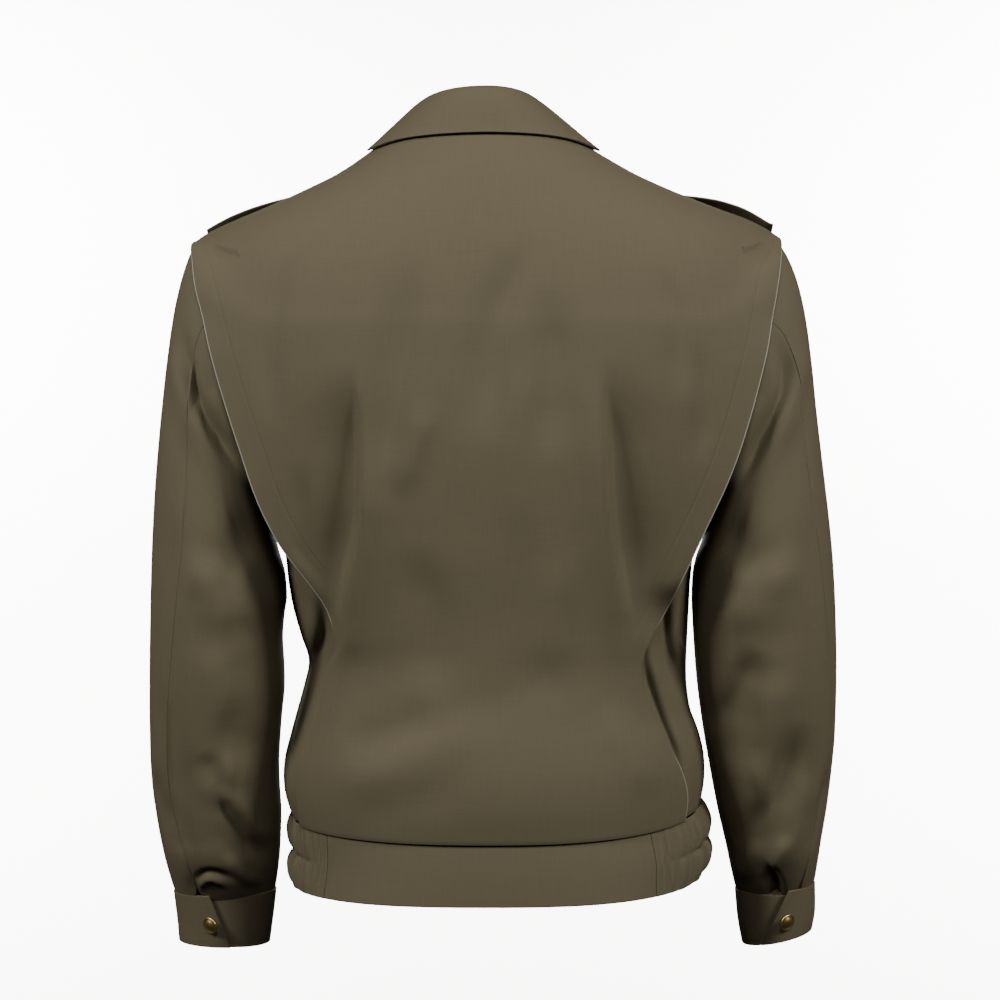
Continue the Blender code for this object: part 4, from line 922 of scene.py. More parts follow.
def sleeve_points(side, part):
    """The top or the under half of a sleeve, between its front and back seams, from the cuff up."""
    table = SLEEVE_TABLES[side]
    last = len(table.keys) - 1
    upper = np.linspace(0, last - 1, SLEEVE_ROWS - 1)
    stations = np.concatenate([upper, last - 1 + np.linspace(0, 1, SLEEVE_END_ROWS + 1)[1:]])
    rows = []
    for station in stations:
        back = float(table("back_seam", station))
        ends = (FRONT_SLEEVE_SEAM, back) if part == "top" else (back, 360 + FRONT_SLEEVE_SEAM)
        row = []
        for angle in np.linspace(*ends, SLEEVE_COLUMNS * 3 + 1):
            point = sleeve_surface(table, side, station, angle)
            if station > last - TUCK_RINGS:
                share, under = tucked_in(side, station, last, angle, part)
                point = point + (under - point) * share
            row.append(point)
        gape = SLEEVE_GAP / 2 + vent_gape(station, last, side)
        gaps = (SLEEVE_GAP / 2, gape) if part == "top" else (gape, SLEEVE_GAP / 2)
        rows.append(evenly(np.array(row), SLEEVE_COLUMNS + 1, *gaps))
    return np.array(rows[::-1])


def cuff_point(table, side, station, angle, lift):
    point = table_ring(table, station, angle, 2.0)
    centre = (table_ring(table, station, 0.0, 2.0) + table_ring(table, station, 180.0, 2.0)) / 2
    point = point + unit(point - centre) * lift
    point[0] *= SIDES[side]
    return point


def cuff_points(side, table):
    last = len(table.keys) - 1
    rows = []
    for share in np.linspace(0, 1, CUFF_ROWS + 1):
        end = 360 + CUFF_EDGE_TOP + (CUFF_EDGE_BOTTOM[side] - CUFF_EDGE_TOP) * share
        angles = np.linspace(CUFF_UNDERLAP, end, CUFF_COLUMNS + 1)
        row = []
        for angle in angles:
            lift = underlap_lift(side, angle)
            # The under layer's top edge is a little lower than the outer layer's.
            drop = UNDERLAP_DROP * lift / UNDERLAP_DEPTH[side] * (share - 1)
            row.append(cuff_point(table, side, share * last + drop, angle, lift))
        rows.append(row)
    return np.array(rows)[::-1]


# Waistband


def band_lift(share, angle):
    """How far the elastic part of the waistband stands out: two puffed channels drawn into gathers."""
    start = BAND_PLAIN_BACK["left" if angle > 0 else "right"]
    t = (abs(angle) - start) / (BAND_PLAIN_FRONT - start)
    if not 0 < t < 1:
        return 0.0
    ends = min(float(smooth(t / GATHER_EASE)), (1 - t) / GATHER_ENDS, 1.0)
    puff = abs(math.sin(2 * math.pi * share)) ** 0.8
    # The gathers are uneven: each wave is drawn closer or wider than its neighbour.
    drawn = t + 0.022 * math.sin(11 * t + 1.3) + 0.012 * math.sin(31 * t)
    wave = math.cos(2 * math.pi * GATHERS * drawn)
    lean = math.cos(2 * math.pi * GATHERS * drawn + 1.1 * (share - 0.5) * math.sin(9 * t))
    small = math.cos(2 * math.pi * SMALL_GATHERS * drawn + 2.0 * math.sin(7 * t))
    lift = CHANNEL_PUFF * puff * (0.72 + 0.28 * lean) + GATHER_HEIGHT * wave * (0.6 + 0.4 * puff)
    # The line of stitches between the channels pulls the cloth in.
    lift -= CHANNEL_DENT * math.exp(-(((share - 0.5) / 0.045) ** 2))
    return ends * lift + SMALL_GATHER_HEIGHT * small * puff * min(t / 0.04, (1 - t) / 0.04, 1.0)


def band_points(start, end, columns, rows_count):
    rows = []
    for share in np.linspace(1, 0, rows_count + 1):
        angles = np.linspace(start, end, columns + 1)
        lifts = np.array([band_lift(share, a) for a in angles])
        row = surface(BAND, np.full(len(angles), (1 - share) * BAND_TOP), angles, lifts)
        row[0] += unit(row[1] - row[0]) * SEAM_GAP / 2
        row[-1] += unit(row[-2] - row[-1]) * SEAM_GAP / 2
        rows.append(row)
    rows[-1][:, 2] -= BAND_GAP / 2
    return np.array(rows)


# Collar and shoulder straps


def roll_point(angle):
    """The collar's roll line, round the neck."""
    sign = 1 if angle >= 0 else -1
    turn = math.radians(abs(angle))
    front = max(0.0, -math.cos(turn))
    x = STAND_SIDE[0] * math.sin(turn) ** ROLL_ROUND + STAND_FRONT[0] * front**3
    y_reach = STAND_BACK[1] if math.cos(turn) >= 0 else -STAND_FRONT[1]
    z_end = STAND_BACK[2] if math.cos(turn) >= 0 else STAND_FRONT[2]
    y = STAND_SIDE[1] + (y_reach - STAND_SIDE[1]) * math.cos(turn)
    z = STAND_SIDE[2] + (z_end - STAND_SIDE[2]) * abs(math.cos(turn)) ** ROLL_FALL
    return np.array([sign * x + NECK_SHIFT * abs(math.sin(turn)) ** 0.5, y, z])


def fall_edge(angle):
    """The outer edge of the collar's fall, which lies just above the shoulders and fronts."""
    sign = 1 if angle >= 0 else -1
    level = LEVEL["neck"] - float(FALL("down", abs(angle)))
    turned = abs(angle) + float(FALL("turn", abs(angle)))
    lifts = (FALL_LIFT_BACK, FALL_LIFT_SIDE + 1.05, FALL_LIFT_FRONT)
    return surface(TORSO, level, sign * turned, float(curve_through((0, 90, 180), lifts, abs(angle))))


def collar_points():
    """Stand and fall in one wall, folded over a small roll."""
    end = 180 - math.degrees(math.asin(FRONT_EDGE / RINGS["neck"][0]))
    columns = []
    for angle in np.linspace(end, -end, 2 * COLLAR_COLUMNS + 1):
        seam = surface(TORSO, LEVEL["neck"], angle) + np.array([0, 0, STAND_CLEAR])
        roll, edge = roll_point(angle), fall_edge(angle)
        out = unit((edge - roll) * np.array([1, 1, 0]))
        up = np.array([0.0, 0.0, 1.0])
        over = [roll + ROLL_RADIUS * (out * (1 - math.cos(a)) + up * math.sin(a)) for a in (0, 0.9, 1.8, 2.5)]
        swell = (out + up) * FALL_SWELL * math.cos(math.radians(angle)) ** 2
        fall = [over[-1] * (1 - t) + edge * t + swell * 4 * t * (1 - t) ** 2 for t in (0.3, 0.55, 0.8, 1.0)]
        columns.append([seam, seam * 0.5 + roll * 0.5] + over + fall)
    return np.array(columns).transpose(1, 0, 2)


def ridge_z(x, side):
    levels = np.arange(LEVEL["shoulder_tip"], LEVEL["neck"] + 1)
    widths, heights = TORSO(f"{side}_x", levels), TORSO(f"{side}_z", levels)
    return float(np.interp(x, widths[::-1], heights[::-1]))


def strap_point(side, t, across):
    """A point of the shoulder strap: t runs from the shoulder tip to the pointed end, across from -1 to 1."""
    length = STRAP_OUTER_X - STRAP_INNER_X
    half = (STRAP_WIDTH + (STRAP_INNER_WIDTH - STRAP_WIDTH) * t) / 2
    pointed = STRAP_POINT * abs(across) ** 1.5 * np.clip((t - 0.8) / 0.2, 0, 1)
    x = STRAP_OUTER_X - length * t + pointed
    y = STRAP_Y + half * across
    risen = math.sin(math.pi * min((t + ARCH_START) / ARCH_LENGTH, 1.0) ** ARCH_EARLY)
    arch = STRAP_ARCH[side] * risen * (0.62 + 0.38 * across)
    share = SHOULDER_FALL[0] + (SHOULDER_FALL[1] - SHOULDER_FALL[0]) * t
    fall = share * max(0.0, -y) ** SHOULDER_FALL_POWER
    return np.array([SIDES[side] * x, y, ridge_z(x, side) - fall + STRAP_LIFT + arch])


# Materials


def linear(hexa):
    """A linear colour from an sRGB hex code."""
    parts = [int(hexa[k : k + 2], 16) / 255 for k in (0, 2, 4)]
    return [c / 12.92 if c <= 0.04045 else ((c + 0.055) / 1.055) ** 2.4 for c in parts] + [1.0]


def start_material(name):
    look = bpy.data.materials.get(name)
    if look:
        bpy.data.materials.remove(look)
    look = bpy.data.materials.new(name)
    look.use_nodes = True
    shader = look.node_tree.nodes["Principled BSDF"]
    return look, look.node_tree, shader


def node(tree, kind, inputs=None, **settings):
    """One shader node with its settings, its constant inputs and its links from other nodes' outputs."""
    made = tree.nodes.new(kind)
    for key, value in settings.items():
        setattr(made, key, value)
    for key, value in (inputs or {}).items():
        if isinstance(value, bpy.types.NodeSocket):
            tree.links.new(value, made.inputs[key])
        else:
            made.inputs[key].default_value = value
    return made


def math_node(tree, operation, *values):
    return node(tree, "ShaderNodeMath", dict(enumerate(values)), operation=operation).outputs[0]


def mix_colour(tree, share, first, second):
    """A colour that goes from the first to the second as the share goes from 0 to 1."""
    return node(tree, "ShaderNodeMix", {0: share, 6: first, 7: second}, data_type="RGBA").outputs[2]


def ramp(tree, value, low, high, start=0.0, end=1.0):
    """A value stretched from low and high to start and end."""
    inputs = {"Value": value, "From Min": low, "From Max": high, "To Min": start, "To Max": end}
    return node(tree, "ShaderNodeMapRange", inputs).outputs[0]


def shaded(base, share):
    """A colour made darker or paler by a share of itself."""
    return [c * share for c in base[:3]] + [1.0]


# Worsted serge: a smooth, hard-twisted twill. Threads are 0.5 mm apart, too fine for a picture where a pixel
# is 0.8 mm, so the uneven yarns that do show are drawn as streaks 1.4 mm wide along the warp and weft.
STREAK_WIDTH = 0.0014
STREAK_LENGTH = 0.03
TWILL_PITCH = 0.0016
# A wave texture has a band each 0.314 of its space.
WAVE_BAND = 0.314
# In millimetres in from the wing's edge: the painted highlight's width, and the pressed line's place and
# width.
HIGHLIGHT_WIDTH = 1.3
PRESS_INSET = 21.0
PRESS_WIDTH = 1.6


def streaks(tree, threads, along_warp):
    wide, long = 1 / STREAK_WIDTH, 1 / STREAK_LENGTH
    scale = (wide, long, 1.0) if along_warp else (long, wide, 1.0)
    mapped = node(tree, "ShaderNodeMapping", {"Vector": threads, "Scale": scale}).outputs[0]
    inputs = {"Vector": mapped, "Scale": 1.0, "Detail": 3.0, "Roughness": 0.6}
    return node(tree, "ShaderNodeTexNoise", inputs).outputs["Fac"]


def serge_material():
    settings = bpy.context.scene.jacket_settings
    look, tree, shader = start_material(SERGE)
    threads = node(tree, "ShaderNodeTexCoord").outputs["UV"]
    warp, weft = streaks(tree, threads, True), streaks(tree, threads, False)
    yarns = math_node(tree, "ADD", warp, weft)
    turned = node(tree, "ShaderNodeMapping", {"Vector": threads, "Rotation": (0, 0, math.radians(63))})
    inputs = {"Vector": turned.outputs[0], "Scale": WAVE_BAND / TWILL_PITCH, "Distortion": 0.6, "Detail": 1.0}
    twill = node(tree, "ShaderNodeTexWave", inputs, bands_direction="X").outputs["Fac"]
    base = (*settings.cloth_colour, 1.0)
    pale, dark = shaded(base, 1.05), shaded(base, 0.95)
    colour = mix_colour(tree, ramp(tree, yarns, 0.7, 1.3), dark, pale)
    colour = mix_colour(tree, math_node(tree, "MULTIPLY", twill, 0.12), colour, dark)
    # The folded edge of each wing gets a pale painted highlight where it catches the light, and a line is
    # pressed into the cloth inside it, whose dent is also painted a little darker as shade.
    edge = node(tree, "ShaderNodeAttribute", attribute_name="edge_run").outputs["Fac"]
    highlight_mask = node(tree, "ShaderNodeAttribute", attribute_name="highlight_mask").outputs["Fac"]
    painted_highlight = math_node(tree, "MULTIPLY", ramp(tree, edge, 0.4, HIGHLIGHT_WIDTH, 1.0, 0.0), highlight_mask)
    # Painted highlight: the pale colour along the folded edges.
    colour = mix_colour(tree, painted_highlight, colour, linear("A3A294"))
    off = math_node(tree, "ABSOLUTE", math_node(tree, "SUBTRACT", edge, PRESS_INSET))
    pressed = math_node(tree, "MULTIPLY", ramp(tree, off, 0.3, PRESS_WIDTH, 1.0, 0.0), highlight_mask)
    # Painted shade: the pressed line's dent is drawn a little darker.
    colour = mix_colour(tree, math_node(tree, "MULTIPLY", pressed, 0.35), colour, dark)
    tree.links.new(colour, shader.inputs["Base Color"])
    # The weave is flat enough to be drawn in the colour alone. Only the pressed line is a dent.
    height = math_node(tree, "SUBTRACT", 1.0, pressed)
    bump = node(tree, "ShaderNodeBump", {"Height": height, "Strength": 0.5, "Distance": 0.0003})
    tree.links.new(bump.outputs[0], shader.inputs["Normal"])
    shader.inputs["Roughness"].default_value = 0.78
    shader.inputs["Specular IOR Level"].default_value = 0.25
    shader.inputs["Sheen Weight"].default_value = 0.05
    shader.inputs["Sheen Roughness"].default_value = 0.45
    shader.inputs["Sheen Tint"].default_value = linear("D8CDB0")
    return look


def brass_material():
    """Stamped and lacquered brass: a bright warm metal that mirrors the studio softly."""
    settings = bpy.context.scene.jacket_settings
    look, tree, shader = start_material(BRASS)
    place = node(tree, "ShaderNodeTexCoord").outputs["Object"]
    grain = node(tree, "ShaderNodeTexNoise", {"Vector": place, "Scale": 900.0, "Detail": 2.0}).outputs["Fac"]
    base = (*settings.brass_colour, 1.0)
    colour = mix_colour(tree, grain, base, shaded(base, 0.82))
    tree.links.new(colour, shader.inputs["Base Color"])
    tree.links.new(ramp(tree, grain, 0.0, 1.0, 0.30, 0.42), shader.inputs["Roughness"])
    shader.inputs["Metallic"].default_value = 1.0
    return look


def zip_metal_material():
    """Die-cast zip metal, oxidised to a dull brown bronze."""
    look, tree, shader = start_material(ZIP_METAL)
    place = node(tree, "ShaderNodeTexCoord").outputs["Object"]
    grain = node(tree, "ShaderNodeTexNoise", {"Vector": place, "Scale": 700.0, "Detail": 2.0}).outputs["Fac"]
    colour = mix_colour(tree, grain, linear("8A7444"), linear("5C4A28"))
    tree.links.new(colour, shader.inputs["Base Color"])
    shader.inputs["Metallic"].default_value = 1.0
    shader.inputs["Roughness"].default_value = 0.38
    return look


TAPE_RIB = 0.0012


def tape_material():
    """Woven cotton zip tape: matt, a little darker than the serge, with a herringbone rib."""
    look, tree, shader = start_material(TAPE)
    threads = node(tree, "ShaderNodeTexCoord").outputs["UV"]
    inputs = {"Vector": threads, "Scale": WAVE_BAND / TAPE_RIB}
    rib = node(tree, "ShaderNodeTexWave", inputs, bands_direction="X").outputs["Fac"]
    colour = mix_colour(tree, rib, linear("3E3827"), linear("544C36"))
    tree.links.new(colour, shader.inputs["Base Color"])
    bump = node(tree, "ShaderNodeBump", {"Height": rib, "Strength": 0.3, "Distance": 0.0002})
    tree.links.new(bump.outputs[0], shader.inputs["Normal"])
    shader.inputs["Roughness"].default_value = 0.9
    return look


def thread_material():
    """Spun polyester sewing thread, coloured a shade darker than the cloth so that a row of it is a fine dark
    line: real thread, with painted shade for the shadow along a stitched line.
    """
    look, tree, shader = start_material(THREAD)
    place = node(tree, "ShaderNodeTexCoord").outputs["Object"]
    twist = node(tree, "ShaderNodeTexNoise", {"Vector": place, "Scale": 1500.0}).outputs["Fac"]
    # Painted shade: the thread's colours are darker than the cloth's, so that each row of stitches reads as a
    # shadowed line.
    colour = mix_colour(tree, twist, linear("463F2D"), linear("5A523C"))
    tree.links.new(colour, shader.inputs["Base Color"])
    shader.inputs["Roughness"].default_value = 0.6
    shader.inputs["Sheen Weight"].default_value = 0.2
    return look


def plain_material(name, hexa, roughness):
    """A plain painted studio surface with a faint unevenness."""
    look, tree, shader = start_material(name)
    place = node(tree, "ShaderNodeTexCoord").outputs["Object"]
    cloud = node(tree, "ShaderNodeTexNoise", {"Vector": place, "Scale": 1.5}).outputs["Fac"]
    colour = mix_colour(tree, cloud, linear(hexa), shaded(linear(hexa), 0.985))
    tree.links.new(colour, shader.inputs["Base Color"])
    shader.inputs["Roughness"].default_value = roughness
    return look


# Buttons and the zip


def spun_button(name, place, normal, look, nodes):
    """A domed button with a rolled rim and a plain face."""
    r = BUTTON_RADIUS
    profile = [
        (0.0, 0.0), (r - 1.2, 0.0), (r - 0.4, 0.15), (r, 0.7), (r, 1.05), (r - 0.25, 1.5), (r - 0.75, 1.68),
        (r - 1.15, 1.5), (r - 1.4, 1.3), (r - 1.75, 1.42), (r - 2.6, 2.1), (r * 0.45, 2.85), (r * 0.22, 3.25),
        (0.0, 3.4),
    ]
    mesh = bpy.data.meshes.new(name)
    bm = bmesh.new()
    verts = [bm.verts.new((a * MM, 0, h * MM)) for a, h in profile]
    edges = [bm.edges.new(pair) for pair in zip(verts, verts[1:])]
    bmesh.ops.spin(
        bm, geom=verts + edges, cent=(0, 0, 0), axis=(0, 0, 1), angle=math.tau, steps=48, use_merge=True,
    )
    bmesh.ops.remove_doubles(bm, verts=bm.verts, dist=1e-6)
    bmesh.ops.recalc_face_normals(bm, faces=bm.faces)
    turn = Vector(normal).to_track_quat("Z", "Y").to_matrix().to_4x4()
    bmesh.ops.transform(bm, matrix=Matrix.Translation(Vector(place) * MM) @ turn, verts=bm.verts)
    bm.to_mesh(mesh)
    bm.free()
    mesh.shade_smooth()
    return add_object(name, mesh, look, nodes)


def zip_points(x_start, x_end, depth, columns):
    rows = []
    body = [level for level in BODY_LEVELS[1:] if level < LEVEL["neck"] - 0.2]
    for rings, levels in ((BAND, np.linspace(0, BAND_TOP, 5)), (TORSO, body)):
        for level in levels:
            centre = surface(rings, level, 180.0, depth)
            rows.append([np.array([x, centre[1], centre[2]]) for x in np.linspace(x_start, x_end, columns)])
    return np.array(rows)


def zip_teeth(look):
    """Two rows of teeth that reach past the middle in turn, each a small block with a narrower head."""
    line = zip_points(0.0, 0.1, CHAIN_DEPTH, 2)[:, 0]
    run = run_along(line)
    count = int(run[-1] / TOOTH_PITCH)
    places = evenly(line, count + 1, TOOTH_PITCH / 2, TOOTH_PITCH / 2)
    ups = unit(np.gradient(places, axis=0))
    bm = bmesh.new()
    for k, (place, up) in enumerate(zip(places, ups)):
        sign = 1.0 if k % 2 else -1.0
        out = unit(np.cross(up, np.array([1.0, 0, 0])))
        made = bmesh.ops.create_grid(bm, x_segments=3, y_segments=1, size=1.0)["verts"]
        for vert in made:
            x = (-0.9, 0.35, 0.75, CHAIN_WIDTH / 2)[round((vert.co.x + 1) * 1.5)]
            tall = 0.62 if x < 0.5 else (0.85 if x < 1 else 0.95)
            point = place + np.array([sign * x, 0, 0]) + up * tall * vert.co.y
            vert.co = Vector(point - out * CHAIN_THICK / 2) * MM
        faces = list({face for vert in made for face in vert.link_faces})
        extruded = bmesh.ops.extrude_face_region(bm, geom=faces)["geom"]
        tops = [item for item in extruded if isinstance(item, bmesh.types.BMVert)]
        bmesh.ops.translate(bm, vec=Vector(out) * CHAIN_THICK * MM, verts=tops)
    bmesh.ops.recalc_face_normals(bm, faces=bm.faces)
    mesh = bpy.data.meshes.new("zip_teeth")
    bm.to_mesh(mesh)
    bm.free()
    return add_object("zip_teeth", mesh, look, ["zip_chain"])


# Stitching


def stitch_row(bm, line, normals):
    """A row of stitches on a surface: short low mounds, each a little sunk at its ends."""
    run = run_along(line)
    count = max(1, int(run[-1] / STITCH_PITCH))
    at = np.linspace(0, run[-1], count + 1)
    centres = (at[1:] + at[:-1]) / 2
    place = np.stack([np.interp(centres, run, line[:, k]) for k in range(3)], axis=1)
    normal = unit(np.stack([np.interp(centres, run, normals[:, k]) for k in range(3)], axis=1))
    ahead = np.stack([np.interp(centres + 0.3, run, line[:, k]) for k in range(3)], axis=1)
    behind = np.stack([np.interp(centres - 0.3, run, line[:, k]) for k in range(3)], axis=1)
    forward = unit(ahead - behind)
    across = unit(np.cross(normal, forward))
    half = STITCH_PITCH * 0.36
    for p, n, f, a in zip(place, normal, forward, across):
        rings = []
        for step, rise, wide in ((-1.0, -0.1, 0.45), (-0.5, 0.22, 1.0), (0.5, 0.22, 1.0), (1.0, -0.1, 0.45)):
            centre, reach = p + f * half * step, a * STITCH_WIDTH * wide / 2
            ring = (centre - reach - n * 0.15, centre + n * rise, centre + reach - n * 0.15)
            rings.append([bm.verts.new(q * MM) for q in ring])
        for one, two in zip(rings, rings[1:]):
            for k in range(2):
                bm.faces.new((one[k], one[k + 1], two[k + 1], two[k]))
            bm.faces.new((one[2], one[0], two[0], two[2]))
        bm.faces.new(rings[0])
        bm.faces.new(rings[-1][::-1])


def stitches(name, rows, look):
    """One object of several rows of stitches. Each row is a line of points and the normals along it."""
    bm = bmesh.new()
    for line, normals in rows:
        stitch_row(bm, np.asarray(line), np.asarray(normals))
    bmesh.ops.recalc_face_normals(bm, faces=bm.faces)
    mesh = bpy.data.meshes.new(name)
    bm.to_mesh(mesh)
    bm.free()
    mesh.shade_smooth()
    return add_object(name, mesh, look, ())


def from_edge(grid, edge):
    """A grid turned so that its rows run in from its bottom or its right edge."""
    return grid if edge == "bottom" else grid.transpose(1, 0, 2)[::-1]


def inset_line(points, outward, edge):
    """A line on a fine grid's outer face, a stitch's inset in from an edge, and the normals along it."""
    normal = from_edge(grid_normals(points) * outward, edge)
    lifted = from_edge(points, edge) + normal * FACE
    run = run_along(lifted)

    def inset(grid):
        columns = zip(run.T, grid.transpose(1, 2, 0))
        return np.array([[np.interp(STITCH_INSET, at, values) for values in column] for at, column in columns])

    return inset(lifted), inset(normal)


# Settings and operators


class JacketSettings(bpy.types.PropertyGroup):
    cloth_colour: FloatVectorProperty(
        name="Cloth colour", description="Colour of the serge", subtype="COLOR", size=3, min=0, max=1,
        default=linear("5E5642")[:3],
    )
    brass_colour: FloatVectorProperty(
        name="Brass colour", description="Colour of the buttons", subtype="COLOR", size=3, min=0, max=1,
        default=linear("F4D488")[:3],
    )
    cloth_thickness: FloatProperty(
        name="Cloth thickness", description="Thickness of the pressed cloth", unit="LENGTH",
        default=0.0016, min=0.0008, max=0.0024,
    )
    crease_depth: FloatProperty(
        name="Crease depth", description="Share of the creases' full depth", subtype="FACTOR",
        default=1.0, min=0.0, max=1.5,
    )
    light_power: FloatProperty(
        name="Light power", description="Power of the main studio light", default=72.0, min=1.0, max=400.0,
    )


def crease_rows(rows):
    depth = bpy.context.scene.jacket_settings.crease_depth
    return [(*row[:3], row[3] * depth, row[4]) for row in rows]


class JACKET_OT_body(bpy.types.Operator):
    """Build the back, side and front panels"""

    bl_idname = "jacket.body"
    bl_label = "Body panels"

    def execute(self, context):
        serge = bpy.data.materials[SERGE]
        points = shoulder_softened(fine_grid(back_points(), *GRIDS["back"]))
        points = creased(points, 1.0, behind=crease_rows(BACK_CREASES))
        across = run_along(points.transpose(1, 0, 2)).T
        edge_run = np.minimum(across, across[:, -1:] - across)
        z = points[..., 2]
        # Where the wings' folded edges, and the lapped seam on the right, get a painted highlight.
        wing = smooth((z - WING_HIGHLIGHT_HEIGHTS[0]) / 14) * smooth((WING_HIGHLIGHT_HEIGHTS[1] - z) / 10)
        seam = smooth((SEAM_HIGHLIGHT_HEIGHTS[1] - z) / 14) * smooth((z - SEAM_HIGHLIGHT_HEIGHTS[0]) / 12)
        wing = wing + SEAM_HIGHLIGHT_SHARE * seam * (points[..., 0] < 0)
        back = cloth("back_panel", points, serge, ["back"], values={"edge_run": edge_run, "highlight_mask": wing})
        for side, sign in SIDES.items():
            plain = fine_grid(side_points(side), *GRIDS["side"])
            sunk = [row for row in BACK_CREASES if row[3] < 0]
            plain = lowered(plain, fold_height(crease_rows(sunk), plain[..., 0], plain[..., 2]))
            sunk = crease_rows(SIDE_CREASES[side])
            plain = lowered(plain, fold_height(sunk, plain[..., 0] * sign, plain[..., 2]))
            # The pale line is a painted highlight on the fold. It uses the wing edges' highlight colouring, at
            # a distance of 0 from the edge.
            pale = fold_height([SIDE_FOLD_HIGHLIGHT[side]], plain[..., 0] * sign, plain[..., 2])
            values = {"edge_run": np.zeros(pale.shape), "highlight_mask": pale}
            obj = cloth(f"side_panel_{side}", plain, serge, [f"side_{side}"], values=values)
            front = fine_grid(front_points(side), *GRIDS["front"])
            front = creased(front, sign, before=crease_rows(FRONT_CREASES), sign=sign, hold=FRONT_HOLD)
            obj = cloth(f"front_panel_{side}", front, serge, [f"front_{side}"])
        return {"FINISHED"}


class JACKET_OT_sleeves(bpy.types.Operator):
    """Build the two halves of each sleeve"""

    bl_idname = "jacket.sleeves"
    bl_label = "Sleeves"

    def execute(self, context):
        serge = bpy.data.materials[SERGE]
        for side, sign in SIDES.items():
            for part in ("top", "under"):
                points = fine_grid(sleeve_points(side, part), *GRIDS["sleeve"], SLEEVE_CROWD)
                behind, before = crease_rows(SLEEVE_CREASES[side]), crease_rows(SLEEVE_FRONT_CREASES)
                points = creased(points, sign, behind, before, sign=sign, hold=SLEEVE_HOLD)
                obj = cloth(f"sleeve_{part}_half_{side}", points, serge, [f"sleeve_{part}_{side}"])
        return {"FINISHED"}


class JACKET_OT_cuffs(bpy.types.Operator):
    """Build the cuffs and their buttons"""

    bl_idname = "jacket.cuffs"
    bl_label = "Cuffs"

    def execute(self, context):
        serge = bpy.data.materials[SERGE]
        brass = bpy.data.materials[BRASS]
        thread = bpy.data.materials[THREAD]
        for side, sign in SIDES.items():
            table = CUFF_TABLES[side]
            points = fine_grid(cuff_points(side, table), *GRIDS["cuff"])
            obj = cloth(f"cuff_band_{side}", points, serge, [f"cuff_{side}"])
            rows = [inset_line(points, sign, edge) for edge in ("bottom", "right")]
            stitches(f"cuff_stitching_{side}", rows, thread)
            station, angle = CUFF_BUTTON[side]
            round_step = cuff_point(table, side, station, angle + 4, 0)
            round_step = round_step - cuff_point(table, side, station, angle - 4, 0)
            down_step = cuff_point(table, side, station + 0.3, angle, 0)
            down_step = down_step - cuff_point(table, side, station - 0.3, angle, 0)
            normal = unit(np.cross(down_step, round_step)) * sign
            place = cuff_point(table, side, station, angle, 0) + normal * (FACE + BUTTON_CLEAR + BUTTON_TIP)
            normal = unit(normal + np.array(BUTTON_LEAN) * (sign, 1.0, 1.0))
            spun_button(f"cuff_brass_button_{side}", place, normal, brass, [f"cuff_button_{side}"])
        return {"FINISHED"}


class JACKET_OT_waistband(bpy.types.Operator):
    """Build the waistband with its elastic sides"""

    bl_idname = "jacket.waistband"
    bl_label = "Waistband"

    def execute(self, context):
        serge = bpy.data.materials[SERGE]
        thread = bpy.data.materials[THREAD]
        back = band_points(BAND_PLAIN_BACK["left"], -BAND_PLAIN_BACK["right"], *BAND_STEPS["back"])
        back = fine_grid(back, *GRIDS["band_back"])
        obj = cloth("band_back", back, serge, ["waistband_back"])
        for side, sign in SIDES.items():
            ends = (sign * BAND_PLAIN_FRONT, sign * BAND_PLAIN_BACK[side])
            points = band_points(*ends, *BAND_STEPS["elastic"])
            obj = cloth(f"band_elastic_{side}", points, serge, [f"waistband_side_{side}"])
            middle = len(points) // 2
            outward = grid_normals(points)[middle] * sign
            stitches(f"band_stitching_{side}", [(points[middle] + outward * FACE, outward)], thread)
            edge = 180 - math.degrees(math.asin(FRONT_EDGE / RINGS["band_seam"][0]))
            front = band_points(sign * edge, sign * BAND_PLAIN_FRONT, *BAND_STEPS["front"])
            front = fine_grid(front, *GRIDS["band_front"])
            obj = cloth(f"band_front_{side}", front, serge, [f"waistband_front_{side}"])
        return {"FINISHED"}


class JACKET_OT_collar(bpy.types.Operator):
    """Build the collar and the shoulder straps with their buttons"""

    bl_idname = "jacket.collar"
    bl_label = "Collar and straps"

    def execute(self, context):
        serge = bpy.data.materials[SERGE]
        brass = bpy.data.materials[BRASS]
        points = fine_grid(collar_points(), *GRIDS["collar"])
        obj = cloth("collar_fall_and_stand", points, serge, ["collar"])
        across_steps = np.linspace(-1, 1, STRAP_STEPS[0] + 1)
        along_steps = np.linspace(0, 1, STRAP_STEPS[1] + 1)
        for side in SIDES:
            rows = [[strap_point(side, t, a) for a in across_steps] for t in along_steps]
            points = fine_grid(np.array(rows), *GRIDS["strap"])
            obj = cloth(f"strap_{side}", points, serge, [f"shoulder_strap_{side}"])
            t = (STRAP_OUTER_X - STRAP_BUTTON_X) / (STRAP_OUTER_X - STRAP_INNER_X)
            along = strap_point(side, t + 0.02, 0.0) - strap_point(side, t - 0.02, 0.0)
            across = strap_point(side, t, 0.1) - strap_point(side, t, -0.1)
            normal = unit(np.cross(along, across))
            normal = normal if normal[2] > 0 else -normal
            place = strap_point(side, t, 0.0) + normal * (FACE + BUTTON_CLEAR)
            spun_button(f"strap_brass_button_{side}", place, normal, brass, [f"strap_button_{side}"])
        return {"FINISHED"}


